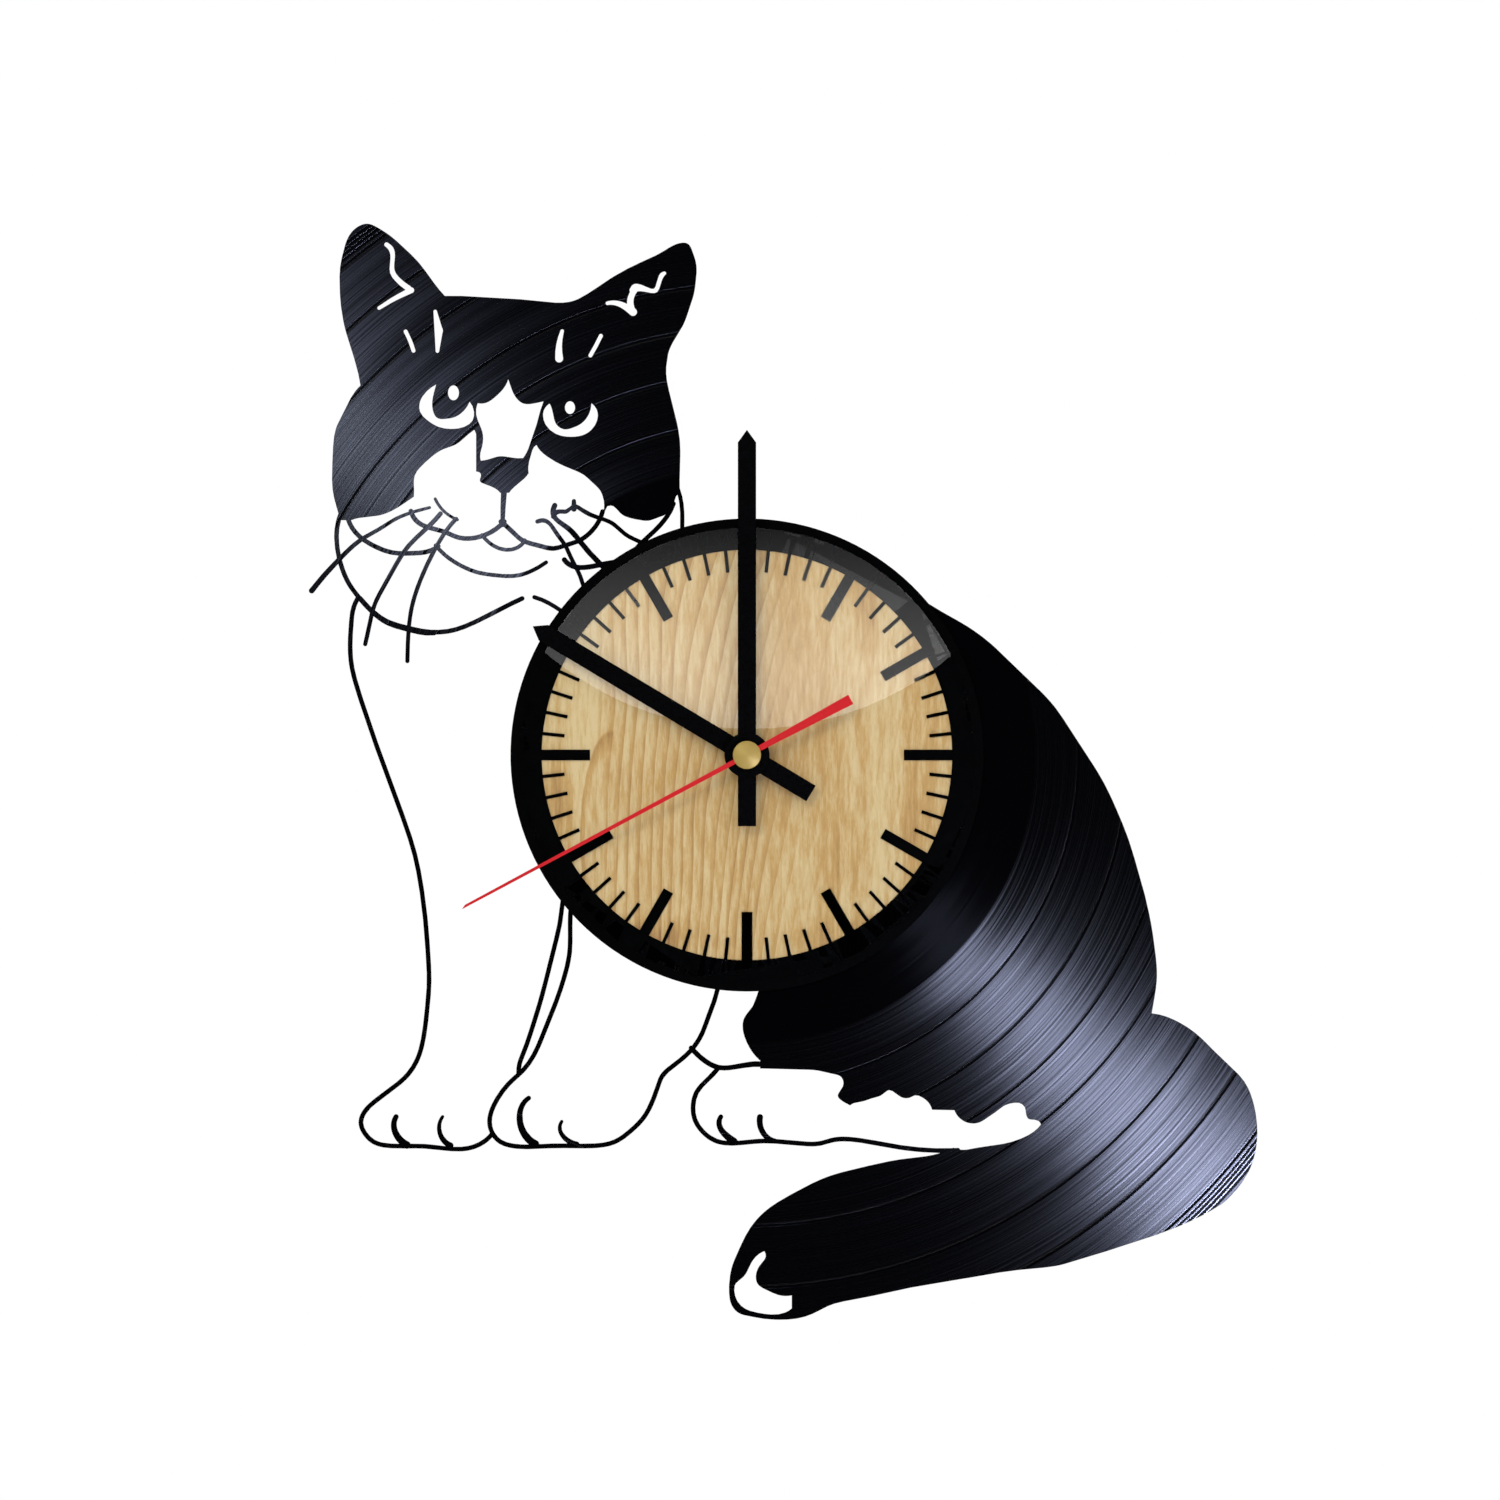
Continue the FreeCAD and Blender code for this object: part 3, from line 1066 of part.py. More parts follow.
def make_set_knob():
    module = module_of("minute_work_spacing", "minute_work_teeth", "knob_teeth")
    x, z = value(KNOB_X), value(KNOB_Z)
    back = value("knob_inset")
    face = back + value("knob_thick")
    pinion_back = value(f"{PLATE_FRONT} + level_gap")
    pinion_front = value("hour_depth - level_gap")
    # the wheel is the leader here, so the knob's phase follows the wheel's
    phase = meshing_phase("minute_work_teeth", minute_work_phase(), "knob_way", "knob_teeth")
    radius = value("knob_dia / 2")
    disc = rod(x, z, back, face, radius)
    grooves = []
    count = int(value("knob_grooves"))
    for n in range(count):
        angle = 2 * math.pi * n / count
        grooves.append(rod(x + radius * math.cos(angle), z + radius * math.sin(angle),
                           0, face, value("knob_groove_dia / 2")))
    disc = disc.cut(grooves)
    # a raised bar across the back for finger and thumb
    dish_front = value("knob_inset + knob_dish")
    dish = rod(x, z, back, dish_front, value("knob_dia / 2 - knob_rim"))
    half_bar = value("knob_bar / 2")
    bar = plate(x - half_bar, z - radius, back, x + half_bar, z + radius, dish_front)
    disc = disc.cut(dish.cut(bar))
    stem = [rod(x, z, dish_front, pinion_back, value("knob_arbor / 2")),
            gear("knob_teeth", module, phase, x, z, pinion_back, pinion_front - pinion_back),
            rod(x, z, pinion_front, value(f"{WALL_INSIDE} - 2 * knob_boss_floor"),
                value("arbor_dia / 2"))]
    flat_shape("set_knob", disc.fuse(stem).removeSplitter())


# ---------------------------------------------------------------- motor and electronics


def make_motor():
    x, z = value(ROTOR_X), value(ROTOR_Z)
    back = value("stator_depth")
    front = back + value("stator_thick")
    half = value("stator_width / 2")
    arm = value("stator_arm")
    bore = value("magnet_dia / 2 + magnet_gap")
    low = z - bore - value("yoke_rim")
    bar_top = z + bore + value("yoke_rim")
    coil = value("coil_z")
    core = value("core_width / 2")
    shape = plate(x - half, low, back, x + half, bar_top, front)
    shape = shape.fuse([plate(x - half, bar_top - 1, back, x - half + arm, coil + core, front),
                        plate(x + half - arm, bar_top - 1, back, x + half, coil + core, front)])
    holes = [rod(x, z, back, front, bore)]
    # two notches make the magnet rest at a known angle
    holes += [rod(x + side * bore, z, back, front, value("notch_dia / 2")) for side in (-1, 1)]
    holes += [rod(value(px), value(pz), back, front, value("peg_dia / 2 + running_gap"))
              for px, pz in STATOR_PEGS]
    flat_shape("stator", shape.cut(holes).removeSplitter())

    core_front = front + value("stator_thick")
    flat_shape("stator_core", plate(x - half, coil - core, front, x + half, coil + core,
                                    core_front))
    middle = (front + core_front) / 2
    flange = value("flange_side / 2")
    thick = value("flange_thick")
    left = x - half + arm + value("level_gap")
    right = x + half - arm - value("level_gap")
    wrap = value("coil_dia / 2 - coil_wrap / 2")
    tube = Part.makeCylinder(wrap, right - left, Vector(left, coil, middle), Vector(1, 0, 0))
    ends = [plate(edge, coil - flange, middle - flange, edge + thick, coil + flange,
                  middle + flange) for edge in (left, right - thick)]
    gap = value("core_gap")
    slot = plate(left, coil - core - gap, front - gap, right, coil + core + gap, core_front + gap)
    flat_shape("coil_bobbin", tube.fuse(ends).cut(slot).removeSplitter())
    press = value("press_gap")
    start = left + thick + press
    length = right - left - 2 * (thick + press)
    wire = Part.makeCylinder(value("coil_dia / 2"), length, Vector(start, coil, middle),
                             Vector(1, 0, 0))
    hollow = Part.makeCylinder(wrap + press, length, Vector(start, coil, middle), Vector(1, 0, 0))
    flat_shape("coil_winding", wire.cut(hollow))


def make_electronics():
    back = value("board_depth")
    front = back + value("board_thick")
    left, right = value("board_left"), value("board_right")
    low, high = value("board_low"), value("board_high")
    board = plate(left, low, back, right, high, front)
    flat_shape("circuit_board", board)

    chip_x, chip_z = left + value("chip_inset"), (low + high) / 2
    radius = value("chip_dia / 2")
    height = value("chip_height")
    sphere = (radius * radius + height * height) / (2 * height)
    ball = Part.makeSphere(sphere, Vector(chip_x, chip_z, back - height + sphere))
    flat_shape("chip_blob", ball.common(plate(chip_x - radius, chip_z - radius, back - height,
                                              chip_x + radius, chip_z + radius, back)))

    can = value("crystal_dia / 2")
    length = value("crystal_length")
    edge = value("crystal_inset")
    start = Vector(right - length - edge, high - can - edge, back - can - value("crystal_lift"))
    crystal = Part.makeCylinder(can, length, start, Vector(1, 0, 0))
    half_lead = value("lead_side / 2")
    foot_x = start.x - value("lead_reach")
    leads = []
    for side in (-1, 1):
        z = start.y + side * value("lead_spread / 2")
        leads.append(plate(foot_x, z - half_lead, start.z - half_lead, start.x + half_lead,
                           z + half_lead, start.z + half_lead))
        leads.append(plate(foot_x, z - half_lead, start.z - half_lead, foot_x + 2 * half_lead,
                           z + half_lead, back))
    flat_shape("quartz_crystal", crystal.fuse(leads).removeSplitter())


# ---------------------------------------------------------------- movement case


def round_corners(body, radius):
    """Round the four upright corners, the edges along Y at the case's outer corners."""
    doc.recompute()
    block = body.Tip
    half = value(CASE_HALF)
    names = []
    for number, edge in enumerate(body.Shape.Edges, start=1):
        ends = [vertex.Point for vertex in edge.Vertexes]
        outer = all(abs(abs(p.x) - half) < 0.01 and abs(abs(p.z) - half) < 0.01 for p in ends)
        if len(ends) == 2 and outer and abs(ends[0].y - ends[1].y) > 0.5:
            names.append(f"Edge{number}")
    feature = body.newObject("PartDesign::Fillet", body.Label + "_corners")
    feature.Base = (block, names)
    bind(feature, "Radius", radius)


def square(sketch, half):
    rectangle(sketch, f"-{half}", f"-{half}", half, half)


def make_case_front():
    case = start_body("case_front")
    outer = start_sketch(case, "back_thick")
    square(outer, f"({CASE_HALF})")
    pad(case, outer, f"{CASE_DEPTH} - back_thick")
    round_corners(case, "case_corner")
    inner = start_sketch(case, WALL_INSIDE)
    square(inner, INNER_HALF)
    pocket(case, inner, f"{WALL_INSIDE} - back_thick")

    rib = start_sketch(case, "back_thick")
    rectangle(rib, "-battery_length / 2", RIB_LOW, "battery_length / 2", f"{RIB_LOW} + rib_thick")
    pad(case, rib, f"{WALL_INSIDE} - back_thick")

    posts = start_sketch(case, "back_thick")
    for x, z in CORNERS:
        circle(posts, "post_dia / 2", x, z)
    pad(case, posts, f"{WALL_INSIDE} - back_thick")

    standoffs = start_sketch(case, PLATE_FRONT)
    for x, z in PLATE_FEET:
        circle(standoffs, "standoff_dia / 2", x, z)
    pad(case, standoffs, f"{WALL_INSIDE} - {PLATE_FRONT}")

    board_feet = start_sketch(case, "board_depth + board_thick")
    circle(board_feet, "board_foot_dia / 2", "board_left + board_foot_inset",
           "board_high - board_foot_inset")
    circle(board_feet, "board_foot_dia / 2", "board_right - board_foot_inset",
           "board_low + board_foot_inset")
    pad(case, board_feet, f"{WALL_INSIDE} - board_depth - board_thick")

    knob_boss = start_sketch(case, f"{WALL_INSIDE} - knob_boss_height")
    circle(knob_boss, "boss_dia / 2", KNOB_X, KNOB_Z)
    pad(case, knob_boss, "knob_boss_height")

    bush = start_sketch(case, WALL_INSIDE)
    circle(bush, "bush_dia / 2")
    pad(case, bush, f"{BUSH_END} - {WALL_INSIDE}")
    bore = start_sketch(case, BUSH_END)
    circle(bore, "hour_dia / 2 + running_gap")
    pocket(case, bore, f"{BUSH_END} - {WALL_INSIDE}")

    knob_hole = start_sketch(case, f"{WALL_INSIDE} - knob_boss_floor")
    circle(knob_hole, "arbor_dia / 2 + running_gap", KNOB_X, KNOB_Z)
    pocket(case, knob_hole, "knob_boss_height")

    pilots = start_sketch(case, "back_thick + screw_length")
    for x, z in CORNERS:
        circle(pilots, "screw_dia / 2 + thread_gap", x, z)
    pocket(case, pilots, "screw_length")


def make_middle_plate():
    plate_body = start_body("middle_plate")
    outline = start_sketch(plate_body, "plate_depth")
    rectangle(outline, "foot_left - foot_margin", "foot_low - foot_margin",
              "foot_far_x + foot_margin", "foot_middle_z + foot_margin")
    circle(outline, "minute_dia / 2 + running_gap")
    for x, z in ((THIRD_X, THIRD_Z), (INTERMEDIATE_X, INTERMEDIATE_Z), (ROTOR_X, ROTOR_Z)):
        circle(outline, "pivot_dia / 2 + running_gap", x, z)
    circle(outline, "knob_arbor / 2 + running_gap", KNOB_X, KNOB_Z)
    pad(plate_body, outline, "plate_thick")
    stud = start_sketch(plate_body, PLATE_FRONT)
    circle(stud, "arbor_dia", MINUTE_WORK_X, MINUTE_WORK_Z)
    pad(plate_body, stud, f"{WALL_INSIDE} - {PLATE_FRONT} - end_gap")
    pegs = start_sketch(plate_body, "stator_depth - peg_proud")
    for x, z in STATOR_PEGS:
        circle(pegs, "peg_dia / 2", x, z)
    pad(plate_body, pegs, "plate_depth - stator_depth + peg_proud")
    shoulders = start_sketch(plate_body, "stator_depth + stator_thick")
    for x, z in STATOR_PEGS:
        circle(shoulders, "peg_shoulder / 2", x, z)
    pad(plate_body, shoulders, "plate_depth - stator_depth - stator_thick")


def make_case_back():
    cover = start_body("case_back")
    outer = start_sketch(cover, "0")
    square(outer, f"({CASE_HALF})")
    pad(cover, outer, "back_thick")
    round_corners(cover, "case_corner")
    bosses = start_sketch(cover, "back_thick")
    for x, z in BEARINGS:
        circle(bosses, "boss_dia / 2", x, z)
    pad(cover, bosses, "boss_height")
    pivots = start_sketch(cover, BOSS_TOP)
    for x, z in BEARINGS:
        circle(pivots, "pivot_dia / 2 + running_gap", x, z)
    pocket(cover, pivots, "pivot_depth")
    bay = start_sketch(cover, "back_thick")
    half_bay = "battery_length / 2 + contact_room - bay_edge"
    rectangle(bay, f"-({half_bay})", BAY_LOW, half_bay, f"{RIB_LOW} - bay_edge")
    pocket(cover, bay, "back_thick")
    knob = start_sketch(cover, "back_thick")
    circle(knob, "knob_dia / 2 + knob_clearance", KNOB_X, KNOB_Z)
    pocket(cover, knob, "back_thick")
    through = start_sketch(cover, "back_thick")
    for x, z in CORNERS:
        circle(through, "screw_dia / 2 + running_gap", x, z)
    pocket(cover, through, "back_thick")
    sinks = start_sketch(cover, "screw_sink + screw_head_thick")
    for x, z in CORNERS:
        circle(sinks, "(screw_head + head_gap) / 2", x, z)
    pocket(cover, sinks, "screw_sink + screw_head_thick")


def make_case_screws():
    """Four pan-head screws with crossed slots."""
    head_back = value("screw_sink")
    head_front = value("screw_sink + screw_head_thick")
    slot_front = value("screw_sink + slot_depth")
    half_slot = value("slot_width / 2")
    reach = value("screw_head / 3")
    solids = []
    for x_text, z_text in CORNERS:
        x, z = value(x_text), value(z_text)
        screw = rod(x, z, head_back, head_front, value("screw_head / 2"))
        screw = screw.fuse(rod(x, z, head_front, value("back_thick + screw_length - hour_room"),
                               value("screw_dia / 2")))
        slots = [plate(x - reach, z - half_slot, 0, x + reach, z + half_slot, slot_front),
                 plate(x - half_slot, z - reach, 0, x + half_slot, z + reach, slot_front)]
        solids.append(screw.cut(slots).removeSplitter())
    flat_shape("case_screws", Part.makeCompound(solids))


# ---------------------------------------------------------------- battery


def bay_rod(left, right, radius):
    """A round bar along X on the battery's axis."""
    centre = Vector(left, value(BATTERY_Z), value(BATTERY_DEPTH))
    return Part.makeCylinder(radius, right - left, centre, Vector(1, 0, 0))


def make_battery():
    half = value("battery_length / 2")
    shoulder = half - value("battery_nub")
    radius = value("battery_dia / 2")
    sleeve = value("sleeve_thick")
    can = bay_rod(-half, shoulder, radius - sleeve)
    can = can.fuse(bay_rod(shoulder - sleeve, half, value("nub_dia / 2")))
    flat_shape("battery_cell", can.removeSplitter())
    inset = value("sleeve_inset")
    wrap = bay_rod(-half + inset, shoulder - inset, radius).cut(
        bay_rod(-half, half, radius - sleeve))
    flat_shape("battery_sleeve", wrap)


def make_contacts():
    """Bent strips from the battery bay up the side walls to the circuit board."""
    thick = value("contact_sheet")
    wall = value(f"{INNER_HALF} - contact_slack")
    cell_end = value("battery_length / 2 + contact_gap")
    depth = value(BATTERY_DEPTH)
    battery_z = value(BATTERY_Z)
    half_pad = value("contact_pad / 2")
    half_strip = value("contact_strip / 2")
    board = value("board_depth")
    back = board - 2 * half_strip
    tongue_low = value("board_low + contact_land")
    tongue_high = tongue_low + 2 * half_strip

    # positive: a flat pad against the nub, on the right
    pad_top = battery_z + half_pad
    parts = [plate(cell_end, battery_z - half_pad, depth - half_strip, cell_end + thick, pad_top,
                   depth + half_strip)]
    parts.append(plate(cell_end, pad_top - 2 * thick, depth - half_strip, wall, pad_top,
                       depth + half_strip))
    parts.append(plate(wall - thick, pad_top - 2 * thick, depth - half_strip, wall, tongue_high,
                       board))
    parts.append(plate(value("board_right - contact_land"), tongue_low, board - thick, wall,
                       tongue_high, board))
    flat_shape("contact_positive", parts[0].fuse(parts[1:]).removeSplitter())

    # negative: a bowed leaf on a plate, on the left
    top = wall
    left = value("board_left")
    parts = [plate(-wall, battery_z - half_pad, depth - half_pad, -wall + thick, pad_top,
                   depth + half_pad)]
    parts.append(plate(-wall, battery_z, back, -wall + thick, top, board))
    parts.append(plate(-wall, top - thick, back, left + half_strip, top, board))
    parts.append(plate(left - half_strip, value("board_high - contact_strip"), board - thick,
                       left + half_strip, top, board))
    foot = -wall + thick
    bow = -cell_end - thick
    span = value("leaf_span / 2")
    flat = value("leaf_flat / 2")
    side = [(foot - thick, depth - span), (bow, depth - flat), (bow, depth + flat),
            (foot - thick, depth + span), (foot, depth + span), (bow + thick, depth + flat),
            (bow + thick, depth - flat), (foot, depth - span)]
    low = battery_z - value("leaf_width / 2")
    corners = [Vector(x, low, d) for x, d in side]
    leaf = Part.Face(Part.makePolygon(corners + corners[:1]))
    parts.append(leaf.extrude(Vector(0, value("leaf_width"), 0)))
    flat_shape("contact_negative", parts[0].fuse(parts[1:]).removeSplitter())


# ---------------------------------------------------------------- build and write

make_record()
make_dial()
make_fixings()
make_hanger()
make_hands()
make_rotor()
make_intermediate_wheel()
make_seconds_wheel()
make_third_wheel()
make_centre_wheel()
make_minute_arbor()
make_minute_work_wheel()
make_hour_wheel()
make_set_knob()
make_motor()
make_electronics()
make_case_front()
make_middle_plate()
make_case_back()
make_case_screws()
make_battery()
make_contacts()
doc.recompute()

for item in doc.Objects:
    if "Invalid" in item.State or "Error" in item.State:
        raise RuntimeError(f"{item.Label} did not build: {item.State}")

subparts = [item for item in doc.Objects
            if item.TypeId == "PartDesign::Body" or item.TypeId == "Part::Feature"]
for item in subparts:
    if item.Shape.isNull() or not item.Shape.isValid() or not item.Shape.Solids:
        raise RuntimeError(f"{item.Label} has no valid solid")

os.makedirs("parts", exist_ok=True)
for item in subparts:
    item.Shape.exportStep(f"parts/{item.Label}.step")
    print(f"{item.Label}: {len(item.Shape.Solids)} solid(s), {item.Shape.Volume:.2f} mm3")
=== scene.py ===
import math

import bpy
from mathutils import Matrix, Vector


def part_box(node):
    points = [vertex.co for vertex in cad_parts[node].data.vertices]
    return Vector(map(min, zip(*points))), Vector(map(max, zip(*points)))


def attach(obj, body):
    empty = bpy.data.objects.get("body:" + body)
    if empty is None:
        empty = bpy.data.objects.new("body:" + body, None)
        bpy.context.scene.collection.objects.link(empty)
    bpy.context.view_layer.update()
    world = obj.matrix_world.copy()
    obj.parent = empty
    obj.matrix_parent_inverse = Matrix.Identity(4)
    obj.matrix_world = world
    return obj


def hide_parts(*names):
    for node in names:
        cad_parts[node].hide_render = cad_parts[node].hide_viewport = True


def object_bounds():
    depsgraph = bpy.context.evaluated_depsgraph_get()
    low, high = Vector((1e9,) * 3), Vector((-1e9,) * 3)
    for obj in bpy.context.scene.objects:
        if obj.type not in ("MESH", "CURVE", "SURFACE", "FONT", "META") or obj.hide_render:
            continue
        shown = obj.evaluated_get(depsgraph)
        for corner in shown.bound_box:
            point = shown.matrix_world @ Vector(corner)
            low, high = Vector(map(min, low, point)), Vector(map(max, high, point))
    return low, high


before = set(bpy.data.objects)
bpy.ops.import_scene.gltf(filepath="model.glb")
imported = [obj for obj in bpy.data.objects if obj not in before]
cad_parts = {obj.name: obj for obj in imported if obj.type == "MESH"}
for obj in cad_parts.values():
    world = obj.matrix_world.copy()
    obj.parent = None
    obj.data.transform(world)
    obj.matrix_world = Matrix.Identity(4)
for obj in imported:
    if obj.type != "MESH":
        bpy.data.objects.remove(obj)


def boxNumbers():
    return [list(corner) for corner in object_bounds()]


cadBox = boxNumbers()
print("stage: frame loaded")

# faces of the record and of the clear disc, in metres
plateFront, plateBack = (corner.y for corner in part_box("record_plate"))
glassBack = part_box("dial_glass")[1].y


def deselectAll():
    if bpy.context.object and bpy.context.object.mode != "OBJECT":
        bpy.ops.object.mode_set(mode="OBJECT")
    bpy.ops.object.select_all(action="DESELECT")


def makeActive(piece):
    deselectAll()
    piece.select_set(True)
    bpy.context.view_layer.objects.active = piece


def applyPlace(piece):
    makeActive(piece)
    bpy.ops.object.transform_apply(location=True, rotation=True, scale=True)


def smoothBy(piece, degrees=30):
    makeActive(piece)
    bpy.ops.object.shade_smooth_by_angle(angle=math.radians(degrees))


copying = {
    "mergeBy": 2e-6,
    "flatWithin": 1.0,  # degrees
}


def copyOfNode(name, pieceName):
    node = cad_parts[name]
    piece = bpy.data.objects.new(pieceName, node.data.copy())
    bpy.context.scene.collection.objects.link(piece)
    piece.data.materials.clear()
    makeActive(piece)
    bpy.ops.mesh.customdata_custom_splitnormals_clear()
    bpy.ops.object.mode_set(mode="EDIT")
    bpy.ops.mesh.select_all(action="SELECT")
    bpy.ops.mesh.remove_doubles(threshold=copying["mergeBy"])
    bpy.ops.mesh.dissolve_limited(angle_limit=math.radians(copying["flatWithin"]))
    bpy.ops.mesh.normals_make_consistent(inside=False)
    bpy.ops.object.mode_set(mode="OBJECT")
    return piece


def bevelEdges(piece, width, angle=40):
    makeActive(piece)
    bevel = piece.modifiers.new("edge", "BEVEL")
    bevel.width = width
    bevel.segments = 1
    bevel.limit_method = "ANGLE"
    bevel.angle_limit = math.radians(angle)
    bpy.ops.object.modifier_apply(modifier=bevel.name)


def finishPiece(piece, body, material, nodes):
    piece.data.materials.clear()
    piece.data.materials.append(material)
    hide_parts(*nodes)
    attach(piece, body)


def softened(node, pieceName, body, slotName, material, width):
    piece = copyOfNode(node, pieceName)
    bevelEdges(piece, width)
    smoothBy(piece)
    finishPiece(piece, body, material, [node])


# a noise is given by its scale, detail and roughness, and mostly lies in this range
noiseMiddle = (0.3, 0.7)


class Paint:

    def __init__(self, name):
        self.material = bpy.data.materials.new(name)
        self.material.use_nodes = True
        self.tree = self.material.node_tree
        self.shader = self.tree.nodes["Principled BSDF"]
        self.coords = self.tree.nodes.new("ShaderNodeTexCoord").outputs["Object"]

    def add(self, kind, **settings):
        node = self.tree.nodes.new(kind)
        for key, setting in settings.items():
            setattr(node, key, setting)
        return node

    def link(self, source, target):
        self.tree.links.new(source, target)

    def put(self, socket, what):
        if isinstance(what, bpy.types.NodeSocket):
            self.link(what, socket)
        else:
            socket.default_value = what

    def math(self, operation, first, second=None):
        node = self.add("ShaderNodeMath", operation=operation)
        self.put(node.inputs[0], first)
        if second is not None:
            self.put(node.inputs[1], second)
        return node.outputs[0]

    def parts(self):
        split = self.add("ShaderNodeSeparateXYZ")
        self.link(self.coords, split.inputs[0])
        return split.outputs

    def stretched(self, scale):
        node = self.add("ShaderNodeMapping")
        self.link(self.coords, node.inputs["Vector"])
        node.inputs["Scale"].default_value = scale
        return node.outputs[0]

    def noise(self, scale, detail, rough, vector=None):
        node = self.add("ShaderNodeTexNoise")
        self.link(vector or self.coords, node.inputs["Vector"])
        node.inputs["Scale"].default_value = scale
        node.inputs["Detail"].default_value = detail
        node.inputs["Roughness"].default_value = rough
        return node.outputs["Fac"]

    def spread(self, source, low, high, toLow=0.0, toHigh=1.0):
        node = self.add("ShaderNodeMapRange")
        self.put(node.inputs["Value"], source)
        node.inputs["From Min"].default_value = low
        node.inputs["From Max"].default_value = high
        node.inputs["To Min"].default_value = toLow
        node.inputs["To Max"].default_value = toHigh
        return node.outputs["Result"]

    def overNoise(self, noise, toLow, toHigh):
        return self.spread(noise, *noiseMiddle, toLow, toHigh)

    def ramp(self, source, stops):
        node = self.add("ShaderNodeValToRGB")
        self.link(source, node.inputs[0])
        elements = node.color_ramp.elements
        while len(elements) < len(stops):
            elements.new(0.5)
        for element, (place, colour) in zip(elements, stops):
            element.position = place
            element.color = (*colour, 1)
        return node.outputs["Color"]

    def mix(self, share, first, second):
        node = self.add("ShaderNodeMix", data_type="RGBA")
        self.put(node.inputs[0], share)
        for socket, colour in ((node.inputs[6], first), (node.inputs[7], second)):
            self.put(socket, (*colour, 1))
        return node.outputs[2]

    def bump(self, height, distance, strength):
        node = self.add("ShaderNodeBump")
        self.link(height, node.inputs["Height"])
        node.inputs["Distance"].default_value = distance
        node.inputs["Strength"].default_value = strength
        self.link(node.outputs[0], self.shader.inputs["Normal"])

    def set(self, **sockets):
        for key, what in sockets.items():
            socket = self.shader.inputs[key.replace("_", " ")]
            if isinstance(what, tuple):
                what = (*what, 1)
            self.put(socket, what)


def scaled(numbers, factor):
    return tuple(number * factor for number in numbers)


def radiusOf(paint):
    place = paint.parts()
    squares = paint.math("ADD", paint.math("MULTIPLY", place["X"], place["X"]),
                         paint.math("MULTIPLY", place["Z"], place["Z"]))
    return paint.math("SQRT", squares)


vinyl = {
    "ink": (0.0006, 0.0006, 0.0010),
    "deadWax": 0.066,  # radius of the smooth middle
    "waxEdge": 0.0006,
    "waxRough": 0.25,
    "trackGaps": (0.0763, 0.0876, 0.0983, 0.1083, 0.1225, 0.1343, 0.1458),
    "rimLines": (0.1469, 0.1478, 0.1487, 0.1496),
    "gapWidth": 0.0006,
    "glintWidth": 0.00030,
    "glintSmooth": 0.16,
    "glintShine": 1.2,
    "fine": (1500, 3, 0.8),
    "broad": (150, 2, 0.6),
    "bright": (2100, 2, 0.7),
    "fineShare": 0.6,
    "broadShare": 0.4,
    "wobble": 0.17,  # radians the sheen swings from groove to groove
    "roughOver": (0.35, 0.65, 0.15, 0.38),  # this range of noise becomes that one
    "shineOver": (0.36, 0.64, 0.16, 0.84),
    "leastShine": 0.03,
    "bump": (0.000016, 0.8),  # height and strength
}


